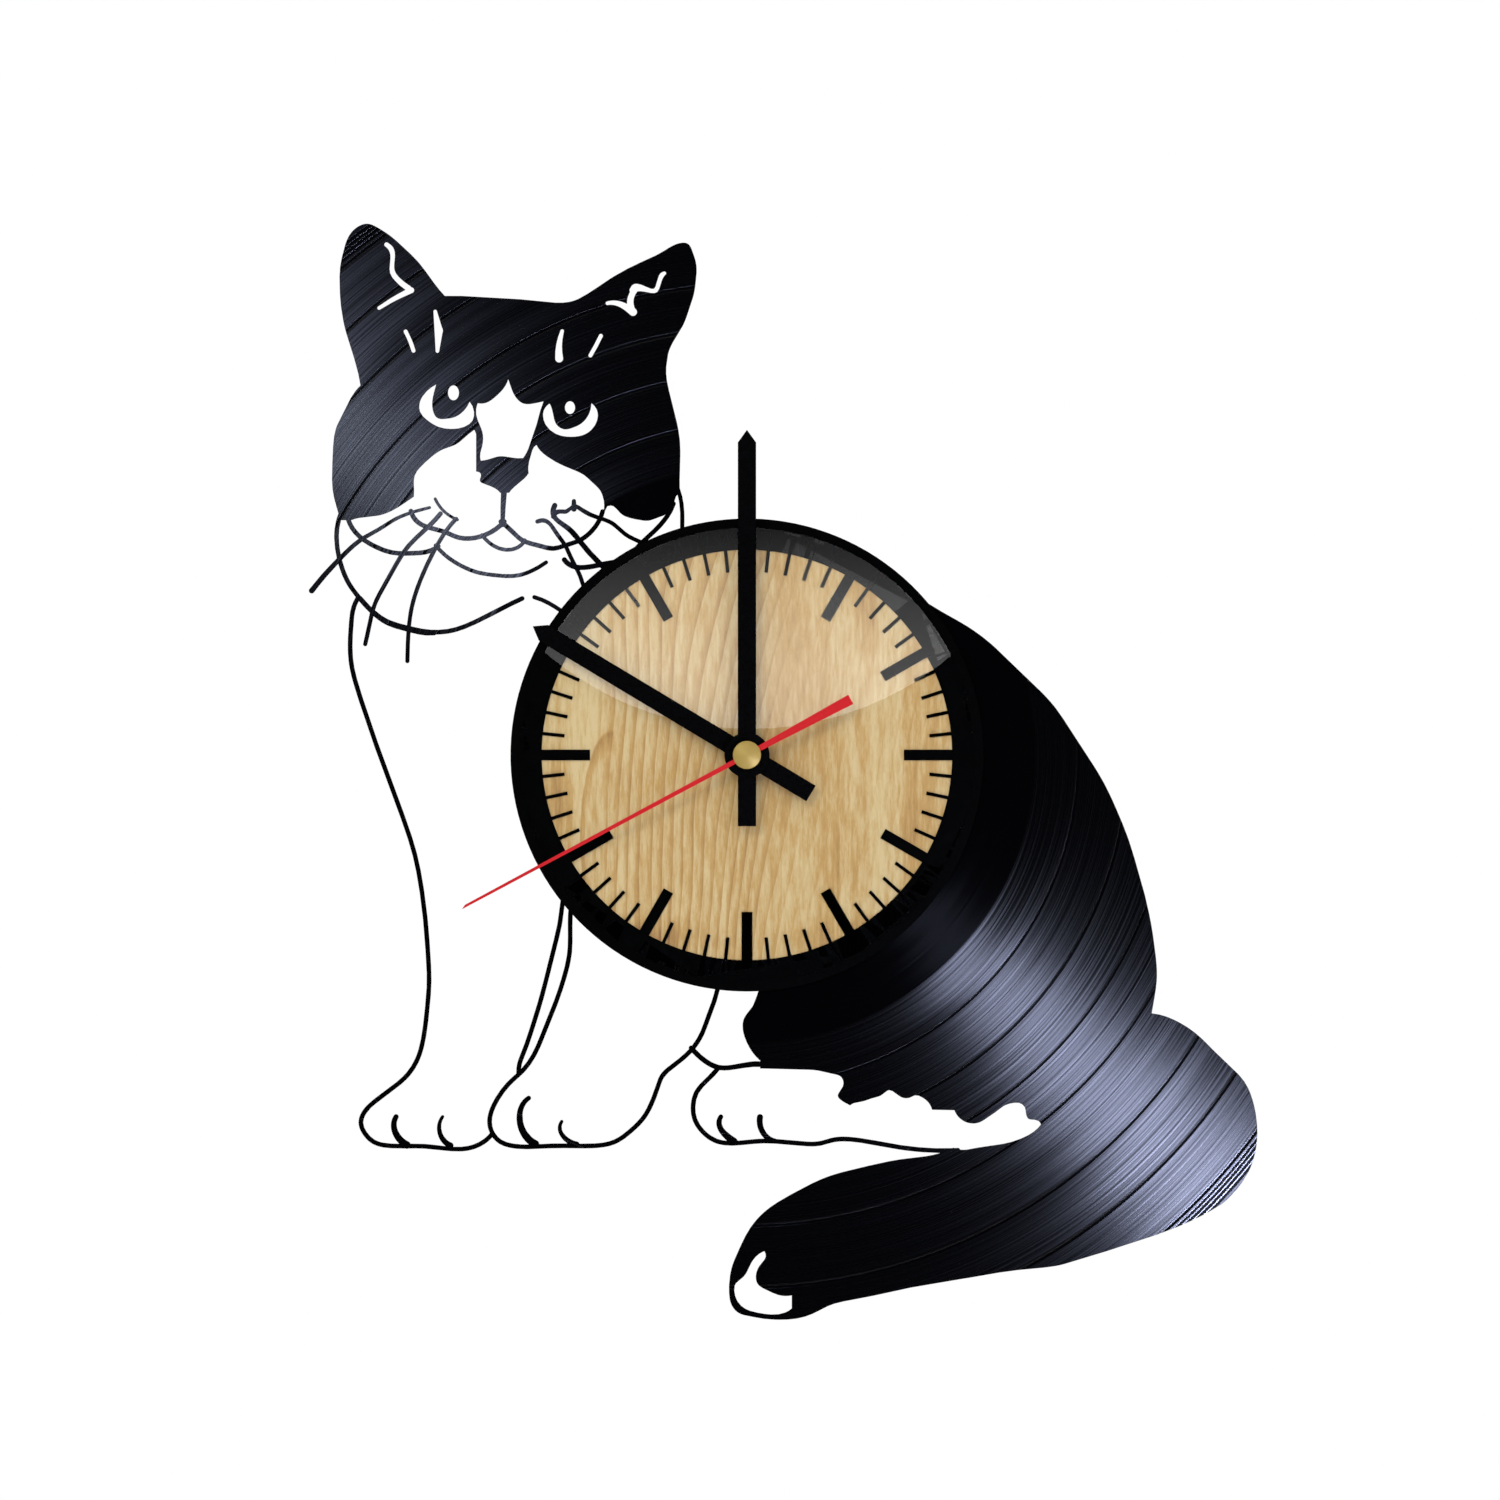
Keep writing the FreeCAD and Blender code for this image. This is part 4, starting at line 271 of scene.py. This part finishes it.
def vinylPaint():
    paint = Paint("pressedVinyl")
    radius = radiusOf(paint)
    # fine grooves: noises that only change with radius
    line = paint.add("ShaderNodeCombineXYZ")
    paint.link(radius, line.inputs[0])
    fine = paint.noise(*vinyl["fine"], line.outputs[0])
    broad = paint.noise(*vinyl["broad"], line.outputs[0])
    grooved = paint.spread(radius, vinyl["deadWax"], vinyl["deadWax"] + vinyl["waxEdge"])
    # the lands between tracks are smooth, with a bright wall on their inner side
    land = glint = 0.0
    half = vinyl["gapWidth"] / 2
    for place in vinyl["trackGaps"] + vinyl["rimLines"]:
        near = paint.math("ABSOLUTE", paint.math("SUBTRACT", radius, place))
        land = paint.math("MAXIMUM", land, paint.math("LESS_THAN", near, half))
        inner = place - half - vinyl["glintWidth"] / 2
        near = paint.math("ABSOLUTE", paint.math("SUBTRACT", radius, inner))
        glint = paint.math("MAXIMUM", glint,
                           paint.math("LESS_THAN", near, vinyl["glintWidth"] / 2))
    # the sheen spreads across the grooves, from the middle outwards
    flat = paint.add("ShaderNodeVectorMath", operation="MULTIPLY")
    paint.link(paint.coords, flat.inputs[0])
    flat.inputs[1].default_value = (1, 0, 1)
    outwards = paint.add("ShaderNodeVectorMath", operation="NORMALIZE")
    paint.link(flat.outputs[0], outwards.inputs[0])
    level = paint.math("ADD", paint.math("MULTIPLY", fine, vinyl["fineShare"]),
                       paint.math("MULTIPLY", broad, vinyl["broadShare"]))
    swing = paint.add("ShaderNodeVectorRotate")
    paint.link(outwards.outputs[0], swing.inputs["Vector"])
    swing.inputs["Axis"].default_value = (0, 1, 0)
    paint.link(paint.overNoise(level, -vinyl["wobble"], vinyl["wobble"]), swing.inputs["Angle"])
    paint.link(swing.outputs[0], paint.shader.inputs["Tangent"])
    rough = paint.spread(fine, *vinyl["roughOver"])
    rough = paint.math("SUBTRACT", rough, paint.math("MULTIPLY", glint, vinyl["glintSmooth"]))
    sheen = paint.math("MULTIPLY", grooved, paint.math("SUBTRACT", 1.0, land))
    smooth = paint.add("ShaderNodeMix", data_type="FLOAT")
    paint.link(sheen, smooth.inputs[0])
    smooth.inputs[2].default_value = vinyl["waxRough"]
    paint.link(rough, smooth.inputs[3])
    paint.bump(paint.math("MULTIPLY", fine, sheen), *vinyl["bump"])
    # the smooth lands and dead wax throw their light elsewhere and look black
    bright = paint.noise(*vinyl["bright"], line.outputs[0])
    bright = paint.spread(bright, *vinyl["shineOver"])
    shine = paint.math("MAXIMUM", paint.math("MULTIPLY", sheen, bright),
                       paint.math("MULTIPLY", glint, vinyl["glintShine"]))
    paint.set(Base_Color=vinyl["ink"], Roughness=smooth.outputs[0], Anisotropic=1.0,
              Specular_IOR_Level=paint.math("MAXIMUM", shine, vinyl["leastShine"]))
    return paint.material


wood = {
    "pale": (0.69, 0.515, 0.255),
    "mid": (0.565, 0.335, 0.100),
    "dark": (0.32, 0.140, 0.030),
    "midAt": 0.35,
    "depth": 0.15,  # darkens every part alike
    "ringWidth": 0.0029,
    "ringSharp": 3.0,
    "slopeOver": (-0.022, 0.004, 0.02, 0.24),  # between these two x, the rings' lean
    "wander": 0.012,
    "wanderNoise": (24, 2, 0.5, 0.45),  # the last number stretches it along the grain
    "fibre": (1100, 3, 0.75, 0.16),
    "grain": (520, 4, 0.7, 0.05),
    "streak": (130, 3, 0.6, 0.07),
    "cloud": (30, 3, 0.55, 0.35),
    "centred": (0.35, 0.65, -0.5, 0.5),
    "fadeRight": (0.012, 0.000, 0.22, 1.0),  # rings weaken past the first x
    "fadeLeft": (-0.036, -0.029, 0.25, 1.0),
    "archCentre": (-0.0310, -0.0190),
    "archSize": (0.0072, 0.0240),
    "archRise": (0.80, 1.0),
    "archFall": (1.04, 1.0),
    "archSide": (-0.030, -0.032),
    # x, z, width and height; the two wide flat ovals at z -0.042 are painted shade along the
    # lower rim, the rest are knots
    "knotsAndRimShade": ((0.0215, -0.0235, 0.0032, 0.014), (0.0375, -0.0135, 0.0036, 0.010),
              (-0.0430, -0.0100, 0.0030, 0.012), (-0.020, -0.0420, 0.012, 0.004),
              (0.024, -0.0420, 0.012, 0.005), (0.0280, 0.0330, 0.003, 0.010)),
    "patchFade": (1.35, 0.2),
    "patchGrain": (0.35, 0.60, 0.3, 1.0),
    "shares": {"rings": 0.46, "arch": 0.46, "fibre": 0.30, "grain": 0.18, "cloud": 0.16,
               "heartAndRimShade": 0.46, "faint": 0.22},
    "bump": (0.00002, 0.4),
    "rough": (0.5, 0.62),
}


def ovalFrom(paint, place, x, z, width, height):
    # one at the oval's edge, nothing in its middle
    across = paint.math("DIVIDE", paint.math("SUBTRACT", place["X"], x), width)
    along = paint.math("DIVIDE", paint.math("SUBTRACT", place["Z"], z), height)
    return paint.math("SQRT", paint.math("ADD", paint.math("MULTIPLY", across, across),
                                         paint.math("MULTIPLY", along, along)))


def woodNoise(paint, name):
    scale, detail, rough, stretch = wood[name]
    return paint.noise(scale, detail, rough, paint.stretched((1, 1, stretch)))


def total(paint, shares, marks):
    amount = 0.0
    for name, mark in marks.items():
        amount = paint.math("ADD", amount, paint.math("MULTIPLY", mark, shares[name]))
    return amount


def woodPaint():
    paint = Paint("maplePly")
    place = paint.parts()
    # growth rings: upright on the left, leaning over towards the middle
    slope = paint.spread(place["X"], *wood["slopeOver"])
    lean = paint.math("MULTIPLY", place["Z"], slope)
    wander = woodNoise(paint, "wanderNoise")
    across = paint.math("ADD", paint.math("SUBTRACT", place["X"], lean),
                        paint.math("MULTIPLY", wander, wood["wander"]))
    turn = paint.math("FRACT", paint.math("DIVIDE", across, wood["ringWidth"]))
    rings = paint.math("POWER", turn, wood["ringSharp"])
    plain = paint.math("MULTIPLY", paint.spread(place["X"], *wood["fadeRight"]),
                       paint.spread(place["X"], *wood["fadeLeft"]))
    # one narrow arch of rings near the left edge
    arch = ovalFrom(paint, place, *wood["archCentre"], *wood["archSize"])
    arch = paint.math("MULTIPLY", paint.spread(arch, *wood["archRise"]),
                      paint.spread(arch, *wood["archFall"]))
    arch = paint.math("MULTIPLY", arch, paint.spread(place["X"], *wood["archSide"]))
    fibre, grain, streak, cloud = (woodNoise(paint, name)
                                   for name in ("fibre", "grain", "streak", "cloud"))
    # darker knot patches, plus painted shade darkening the wood along the lower rim
    heartAndRimShade = 0.0
    for patch in wood["knotsAndRimShade"]:
        near = paint.spread(ovalFrom(paint, place, *patch), *wood["patchFade"])
        heartAndRimShade = paint.math("MAXIMUM", heartAndRimShade, near)
    heartAndRimShade = paint.math("MULTIPLY", heartAndRimShade, paint.spread(grain, *wood["patchGrain"]))
    fibre, grain, streak, cloud = (paint.spread(noise, *wood["centred"])
                                   for noise in (fibre, grain, streak, cloud))
    faint = paint.math("MULTIPLY", streak, paint.math("SUBTRACT", 1.0, plain))
    marks = {"rings": paint.math("MULTIPLY", rings, plain), "arch": arch, "fibre": fibre,
             "grain": grain, "cloud": cloud, "heartAndRimShade": heartAndRimShade, "faint": faint}
    tone = paint.math("ADD", total(paint, wood["shares"], marks), wood["depth"])
    colour = paint.ramp(tone, [(0.0, wood["pale"]), (wood["midAt"], wood["mid"]),
                               (1.0, wood["dark"])])
    paint.bump(fibre, *wood["bump"])
    paint.set(Base_Color=colour, Roughness=paint.spread(fibre, -0.5, 0.5, *wood["rough"]))
    return paint.material


blackFinish = {
    "speck": (900, 3, 0.6),
    "cloud": (60, 2, 0.5),
    "lighter": 1.7,
    "shine": 0.1,
    "roughSpan": (0.85, 1.15),
    "grain": (2600, 2, 0.6),
    "grainStrength": 0.6,
}


def blackPaint(name, ink, rough, grain=0.0):
    paint = Paint(name)
    speck = paint.noise(*blackFinish["speck"])
    cloud = paint.noise(*blackFinish["cloud"])
    paint.set(Base_Color=paint.mix(cloud, ink, scaled(ink, blackFinish["lighter"])),
              Specular_IOR_Level=blackFinish["shine"],
              Roughness=paint.overNoise(speck, *scaled(blackFinish["roughSpan"], rough)))
    if grain:
        paint.bump(paint.noise(*blackFinish["grain"]), grain, blackFinish["grainStrength"])
    return paint.material


metalFinish = {
    "brush": (4, 0.6),  # detail and roughness
    "cloud": (120, 2, 0.5),
    "darker": 0.82,
    "roughSpan": (0.75, 1.3),
    "bump": (0.00001, 0.5),
}


def metalPaint(name, colour, rough, scale, stretch=(1, 1, 1)):
    paint = Paint(name)
    brush = paint.noise(scale, *metalFinish["brush"], paint.stretched(stretch))
    cloud = paint.noise(*metalFinish["cloud"])
    paint.set(Base_Color=paint.mix(cloud, colour, scaled(colour, metalFinish["darker"])),
              Metallic=1.0,
              Roughness=paint.overNoise(brush, *scaled(metalFinish["roughSpan"], rough)))
    paint.bump(brush, *metalFinish["bump"])
    return paint.material


brassTurning = {
    "pale": (0.50, 0.345, 0.085),
    "deep": (0.44, 0.30, 0.07),
    "pitch": 0.00011,  # from one tool mark to the next
    "cloud": (300, 2, 0.5),
    "metal": 0.35,
    "rough": (0.34, 0.46),
    "bump": (0.000004, 0.6),
}


def turnedBrass():
    paint = Paint("turnedBrass")
    radius = radiusOf(paint)
    perMetre = 2 * math.pi / brassTurning["pitch"]
    rings = paint.math("SINE", paint.math("MULTIPLY", radius, perMetre))
    cloud = paint.noise(*brassTurning["cloud"])
    paint.set(Base_Color=paint.mix(cloud, brassTurning["pale"], brassTurning["deep"]),
              Metallic=brassTurning["metal"],
              Roughness=paint.spread(rings, -1, 1, *brassTurning["rough"]))
    paint.bump(rings, *brassTurning["bump"])
    return paint.material


lacquer = {
    "deep": (0.46, 0.007, 0.011),
    "bright": (0.54, 0.011, 0.015),
    "speck": (700, 3, 0.6),
    "shine": 0.1,
    "rough": (0.34, 0.46),
}


def redPaint():
    paint = Paint("redLacquer")
    speck = paint.noise(*lacquer["speck"])
    paint.set(Specular_IOR_Level=lacquer["shine"],
              Base_Color=paint.mix(speck, lacquer["deep"], lacquer["bright"]),
              Roughness=paint.overNoise(speck, *lacquer["rough"]))
    return paint.material


acrylic = {
    "tints": ((0.980, 0.990, 0.986), (0.990, 0.994, 0.992)),
    "wipe": (30, 3, 0.5),
    "rough": 0.0,
    "mirror": 0.04,  # share thrown back from straight ahead
    "grazing": 5.0,  # how late it rises towards a flat view
}


def glassPaint():
    paint = Paint("clearAcrylic")
    wipe = paint.noise(*acrylic["wipe"])
    gloss = paint.add("ShaderNodeBsdfGlossy")
    gloss.inputs["Roughness"].default_value = acrylic["rough"]
    clear = paint.add("ShaderNodeBsdfTransparent")
    paint.link(paint.mix(wipe, *acrylic["tints"]), clear.inputs["Color"])
    # more mirror-like towards a grazing view, the same from either side of a face
    layer = paint.add("ShaderNodeLayerWeight")
    layer.inputs["Blend"].default_value = 0.5
    grazing = paint.math("POWER", layer.outputs["Facing"], acrylic["grazing"])
    share = paint.math("ADD", paint.math("MULTIPLY", grazing, 1 - acrylic["mirror"]),
                       acrylic["mirror"])
    both = paint.add("ShaderNodeMixShader")
    paint.link(share, both.inputs[0])
    paint.link(clear.outputs[0], both.inputs[1])
    paint.link(gloss.outputs[0], both.inputs[2])
    paint.link(both.outputs[0], paint.tree.nodes["Material Output"].inputs["Surface"])
    paint.tree.nodes.remove(paint.shader)
    return paint.material


plasticFinish = {
    "grain": (1800, 3, 0.6),
    "cloud": (45, 2, 0.5),
    "darker": 0.86,
    "roughSpan": (0.85, 1.15),
    "scatterReach": (0.001, 0.0008, 0.0006),
    "bump": (0.00002, 0.5),
}


def plasticPaint(name, colour, rough, scatter=0.0):
    paint = Paint(name)
    grain = paint.noise(*plasticFinish["grain"])
    cloud = paint.noise(*plasticFinish["cloud"])
    paint.set(Base_Color=paint.mix(cloud, colour, scaled(colour, plasticFinish["darker"])),
              Roughness=paint.overNoise(grain, *scaled(plasticFinish["roughSpan"], rough)))
    if scatter:
        sockets = paint.shader.inputs
        sockets["Subsurface Weight"].default_value = scatter
        sockets["Subsurface Radius"].default_value = plasticFinish["scatterReach"]
        sockets["Subsurface Scale"].default_value = 1.0
    paint.bump(grain, *plasticFinish["bump"])
    return paint.material


sleeve = {
    "dark": (0.012, 0.02, 0.03),
    "band": (0.55, 0.26, 0.09),
    "bandShare": 0.68,
    "seam": 0.0002,
    "speck": (500, 3, 0.6),
    "rough": (0.22, 0.32),
    "coat": 0.3,
}


def sleevePaint():
    paint = Paint("cellSleeve")
    low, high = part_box("battery_sleeve")
    edge = low.x + (high.x - low.x) * sleeve["bandShare"]
    band = paint.spread(paint.parts()["X"], edge, edge + sleeve["seam"])
    speck = paint.noise(*sleeve["speck"])
    paint.set(Base_Color=paint.mix(band, sleeve["dark"], sleeve["band"]),
              Roughness=paint.overNoise(speck, *sleeve["rough"]), Coat_Weight=sleeve["coat"])
    return paint.material


pressedVinyl = vinylPaint()
maplePly = woodPaint()
markerBlack = blackPaint("markerBlack", ink=(0.0006, 0.0006, 0.0007), rough=0.20)
handBlack = blackPaint("handBlack", ink=(0.0006, 0.0006, 0.0006), rough=0.28)
redLacquer = redPaint()
clearAcrylic = glassPaint()
brass = turnedBrass()
sparkedBlack = blackPaint("sparkedBlack", ink=(0.010, 0.010, 0.011), rough=0.5, grain=0.00004)
rubber = blackPaint("blackRubber", ink=(0.008, 0.008, 0.008), rough=0.75, grain=0.00003)
zinc = metalPaint("zincPlate", colour=(0.62, 0.62, 0.64), rough=0.32, scale=900,
                  stretch=(0.06, 1, 1))
screwSteel = metalPaint("screwSteel", colour=(0.55, 0.55, 0.57), rough=0.28, scale=1500)
softIron = metalPaint("softIron", colour=(0.42, 0.42, 0.43), rough=0.42, scale=800,
                      stretch=(1, 1, 0.06))
copper = metalPaint("enamelCopper", colour=(0.62, 0.24, 0.08), rough=0.3, scale=2400,
                    stretch=(0.2, 1, 1))
acetal = plasticPaint("naturalAcetal", colour=(0.78, 0.76, 0.68), rough=0.45, scatter=0.1)
phenolic = plasticPaint("phenolicBoard", colour=(0.36, 0.22, 0.08), rough=0.5)
epoxy = blackPaint("epoxyDrop", ink=(0.006, 0.006, 0.006), rough=0.2)
print("stage: materials made")

catRecord = {
    "edge": 0.00012,
    "edgeAngle": 55,
    "smoothAngle": 14,
}

grooveCut = {
    "sides": 360,
    "depth": 0.00009,
    "overshoot": 0.0004,
    "mergeBy": 1e-6,
    "unitTall": 1.5,  # height of a three-sided circle of radius one
    "unitHalf": math.sin(math.radians(120)),  # half its width
}


def grooveCutter(radius, face, inwards):
    # a ring whose three-sided section bites a V into one face of the record
    depth = grooveCut["depth"]
    tall = (depth + grooveCut["overshoot"]) / grooveCut["unitTall"]
    widening = tall * grooveCut["unitTall"] / depth
    wide = widening * vinyl["gapWidth"] / 2 / grooveCut["unitHalf"]
    deselectAll()
    bpy.ops.mesh.primitive_circle_add(vertices=3, radius=1, fill_type="NOTHING",
                                      location=(radius, face + inwards * (depth - tall), 0),
                                      rotation=(0, 0, 0 if inwards > 0 else math.pi))
    ring = bpy.context.object
    ring.name = "grooveCutter"
    ring.scale = (wide, tall, 1)
    applyPlace(ring)
    bpy.ops.object.mode_set(mode="EDIT")
    bpy.ops.mesh.select_all(action="SELECT")
    bpy.ops.mesh.spin(steps=grooveCut["sides"], angle=2 * math.pi, center=(0, 0, 0),
                      axis=(0, 1, 0), use_auto_merge=True)
    bpy.ops.mesh.select_all(action="SELECT")
    bpy.ops.mesh.remove_doubles(threshold=grooveCut["mergeBy"])
    bpy.ops.mesh.normals_make_consistent(inside=False)
    bpy.ops.object.mode_set(mode="OBJECT")
    return ring


def cutAway(piece, cutters):
    deselectAll()
    for cutter in cutters:
        cutter.select_set(True)
    bpy.context.view_layer.objects.active = cutters[0]
    bpy.ops.object.join()
    joined = bpy.context.object
    makeActive(piece)
    cut = piece.modifiers.new("grooves", "BOOLEAN")
    cut.operation = "DIFFERENCE"
    cut.solver = "EXACT"
    cut.object = joined
    bpy.ops.object.modifier_apply(modifier=cut.name)
    bpy.data.objects.remove(joined, do_unlink=True)


def makeRecord():
    cat = copyOfNode("record_plate", "catRecord")
    bevelEdges(cat, catRecord["edge"], catRecord["edgeAngle"])
    cutters = [grooveCutter(radius, face, inwards)
               for face, inwards in ((plateFront, 1), (plateBack, -1))
               for radius in vinyl["trackGaps"]]
    cutAway(cat, cutters)
    smoothBy(cat, catRecord["smoothAngle"])
    finishPiece(cat, "clock", pressedVinyl, ["record_plate"])


makeRecord()
print("stage: record grooved")

# pieces that keep the CAD shape and get a finish
finishes = {
    "wood_dial": maplePly,
    "marker_ring": markerBlack,
    "rubber_washer": rubber,
    "rotor": acetal,
    "rotor_magnet": screwSteel,
    "intermediate_wheel": acetal,
    "seconds_wheel": acetal,
    "third_wheel": acetal,
    "centre_wheel": acetal,
    "minute_arbor": brass,
    "minute_work_wheel": acetal,
    "hour_wheel": acetal,
    "stator": softIron,
    "stator_core": softIron,
    "coil_bobbin": acetal,
    "coil_winding": copper,
    "circuit_board": phenolic,
    "chip_blob": epoxy,
    "quartz_crystal": screwSteel,
    "middle_plate": acetal,
    "contact_positive": zinc,
    "contact_negative": zinc,
    "battery_cell": screwSteel,
    "battery_sleeve": sleevePaint(),
    "case_screws": screwSteel,
    "set_knob": sparkedBlack,
}

for nodeName, material in finishes.items():
    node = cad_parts[nodeName]
    node.data.materials.clear()
    node.data.materials.append(material)

clearDisc = {
    "edge": 0.00015,
    "lift": 0.00004,  # clear of the ring behind it
}


def makeClearDisc():
    disc = copyOfNode("dial_glass", "dialGlass")
    bevelEdges(disc, clearDisc["edge"])
    bpy.ops.object.mode_set(mode="EDIT")
    bpy.ops.mesh.select_all(action="SELECT")
    bpy.ops.mesh.bisect(plane_co=(0, glassBack - clearDisc["lift"], 0), plane_no=(0, 1, 0),
                        clear_outer=True, use_fill=True)
    bpy.ops.mesh.select_all(action="SELECT")
    bpy.ops.mesh.normals_make_consistent(inside=False)
    bpy.ops.object.mode_set(mode="OBJECT")
    smoothBy(disc)
    finishPiece(disc, "clock", clearAcrylic, ["dial_glass"])


makeClearDisc()

# node, new piece, body, slot, material and width of the broken edge
edgeBreaks = [
    ("front_washer", "frontWasher", "clock", "brass", brass, 0.00008),
    ("hex_nut", "hexNut", "clock", "brass", brass, 0.0002),
    ("hanger", "hangerBracket", "clock", "steel", zinc, 0.00012),
    ("minute_hand", "minuteHand", "minutes", "hand_black", handBlack, 0.00008),
    ("hour_hand", "hourHand", "hours", "hand_black", handBlack, 0.00008),
    ("minute_hand_collet", "minuteCollet", "minutes", "brass", brass, 0.00008),
    ("hour_hand_collet", "hourCollet", "hours", "brass", brass, 0.00008),
    ("second_hand", "secondHand", "seconds", "hand_red", redLacquer, 0.00005),
    ("second_hand_cap", "handCap", "seconds", "brass", brass, 0.00012),
    ("case_front", "caseFront", "clock", "case_plastic", sparkedBlack, 0.00025),
    ("case_back", "caseBack", "clock", "case_plastic", sparkedBlack, 0.0002),
]
for row in edgeBreaks:
    softened(*row)
print("stage: pieces finished")

view = {
    "frameHeight": 0.345,
    "aim": (0.0007, 0.00115),  # x and z
    "distance": 1.6,
    "clip": (0.01, 20),
}


def addCamera():
    data = bpy.data.cameras.new("frontCamera")
    data.type = "ORTHO"
    data.ortho_scale = view["frameHeight"]
    data.clip_start, data.clip_end = view["clip"]
    camera = bpy.data.objects.new("frontCamera", data)
    bpy.context.scene.collection.objects.link(camera)
    x, z = view["aim"]
    camera.location = (x, -view["distance"], z)
    camera.rotation_euler = (math.radians(90), 0, 0)
    bpy.context.scene.camera = camera


# colour and strength of the room: as seen, as light on the clock, and in its gloss
room = {
    "seen": ((1, 1, 1), 1.0),
    "lit": ((0.9, 0.93, 1), 0.55),
    "mirrored": ((0.5, 0.55, 0.7), 0.012),
}


def addWorld():
    world = bpy.data.worlds.new("studioWorld")
    bpy.context.scene.world = world
    world.cycles.sampling_method = "NONE"  # the room is met by rays, never picked as a lamp
    world.use_nodes = True
    nodes, links = world.node_tree.nodes, world.node_tree.links
    nodes.clear()
    glows = {}
    for name, (colour, strength) in room.items():
        glow = nodes.new("ShaderNodeBackground")
        glow.inputs["Color"].default_value = (*colour, 1)
        glow.inputs["Strength"].default_value = strength
        glows[name] = glow.outputs[0]
    path = nodes.new("ShaderNodeLightPath")
    glossMix = nodes.new("ShaderNodeMixShader")
    cameraMix = nodes.new("ShaderNodeMixShader")
    out = nodes.new("ShaderNodeOutputWorld")
    links.new(path.outputs["Is Glossy Ray"], glossMix.inputs[0])
    links.new(glows["lit"], glossMix.inputs[1])
    links.new(glows["mirrored"], glossMix.inputs[2])
    links.new(path.outputs["Is Camera Ray"], cameraMix.inputs[0])
    links.new(glossMix.outputs[0], cameraMix.inputs[1])
    links.new(glows["seen"], cameraMix.inputs[2])
    links.new(cameraMix.outputs[0], out.inputs["Surface"])


paleFloor = {
    "size": 6,
    "drop": 0.05,  # below the lowest piece
    "colours": ((0.86, 0.86, 0.85), (0.84, 0.84, 0.83)),
    "speck": (40, 3, 0.5),
    "rough": 0.8,
}


def addFloor():
    deselectAll()
    low = cadBox[0][2] - paleFloor["drop"]
    bpy.ops.mesh.primitive_plane_add(size=paleFloor["size"], location=(0, 0, low))
    floor = bpy.context.object
    floor.name = "paleFloor"
    paint = Paint("paleFloorPaint")
    speck = paint.noise(*paleFloor["speck"])
    paint.set(Base_Color=paint.mix(speck, *paleFloor["colours"]), Roughness=paleFloor["rough"])
    floor.data.materials.append(paint.material)
    floor.visible_glossy = False


window = {
    "sides": 96,
    "radius": 0.072,
    "centre": (0.0007, 0.078),  # x and z
    "distance": 7.0,
    "strength": 2.2,
    "fadeFrom": 0.020,
    "fadeTo": 0.053,
    "fadeShare": 0.15,  # strength left past the fade
}


def addWindow():
    deselectAll()
    x, z = window["centre"]
    bpy.ops.mesh.primitive_circle_add(vertices=window["sides"], radius=window["radius"],
                                      fill_type="NGON", location=(x, -window["distance"], z),
                                      rotation=(math.radians(-90), 0, 0))
    box = bpy.context.object
    box.name = "roundSoftbox"
    applyPlace(box)
    material = bpy.data.materials.new("softboxGlow")
    material.use_nodes = True
    tree = material.node_tree
    tree.nodes.clear()
    coords = tree.nodes.new("ShaderNodeTexCoord")
    split = tree.nodes.new("ShaderNodeSeparateXYZ")
    fade = tree.nodes.new("ShaderNodeMapRange")
    fade.inputs["From Min"].default_value = window["fadeFrom"]
    fade.inputs["From Max"].default_value = window["fadeTo"]
    fade.inputs["To Min"].default_value = window["strength"]
    fade.inputs["To Max"].default_value = window["strength"] * window["fadeShare"]
    glow = tree.nodes.new("ShaderNodeEmission")
    out = tree.nodes.new("ShaderNodeOutputMaterial")
    tree.links.new(coords.outputs["Object"], split.inputs[0])
    tree.links.new(split.outputs["Z"], fade.inputs["Value"])
    tree.links.new(fade.outputs["Result"], glow.inputs["Strength"])
    tree.links.new(glow.outputs[0], out.inputs["Surface"])
    box.data.materials.append(material)
    box.visible_camera = False
    box.visible_diffuse = False
    box.visible_shadow = False


lights = {
    "keyLight": {"place": (-0.40, -1.9, 0.50), "size": 0.5, "power": 9, "glossy": False},
    "fillLight": {"place": (0.1, -1.7, 0.1), "size": 2.4, "power": 26, "glossy": False},
    "sheenLight": {"place": (0.15, -0.4, -0.14), "target": (0.07, 0, -0.07), "size": 0.05,
                   "power": 0.85, "colour": (0.62, 0.68, 1.0), "diffuse": False},
    "earLight": {"place": (-0.16, -0.4, 0.12), "target": (-0.07, 0, 0.08), "size": 0.05,
                 "power": 0.15, "colour": (0.70, 0.78, 1.0), "diffuse": False},
    "backLight": {"place": (0.6, 1.2, 0.9), "size": 0.8, "power": 12},
    "rearLight": {"place": (-0.9, 1.5, 0.3), "size": 1.2, "power": 16},
}


def addLight(name, place, size, power, target=(0, 0, 0), colour=(1, 1, 1), glossy=True,
             diffuse=True):
    data = bpy.data.lights.new(name, "AREA")
    data.shape = "DISK"
    data.size = size
    data.energy = power
    data.color = colour
    light = bpy.data.objects.new(name, data)
    bpy.context.scene.collection.objects.link(light)
    light.location = place
    aim = Vector(target) - Vector(place)
    light.rotation_euler = aim.to_track_quat("-Z", "Y").to_euler()
    light.visible_camera = False
    light.visible_glossy = glossy
    light.visible_diffuse = diffuse


addCamera()
addWorld()
addFloor()
addWindow()
for lightName, settings in lights.items():
    addLight(lightName, **settings)

sceneView = bpy.context.scene.view_settings
sceneView.view_transform = "Standard"
sceneView.look = "None"

print("stage: studio set")
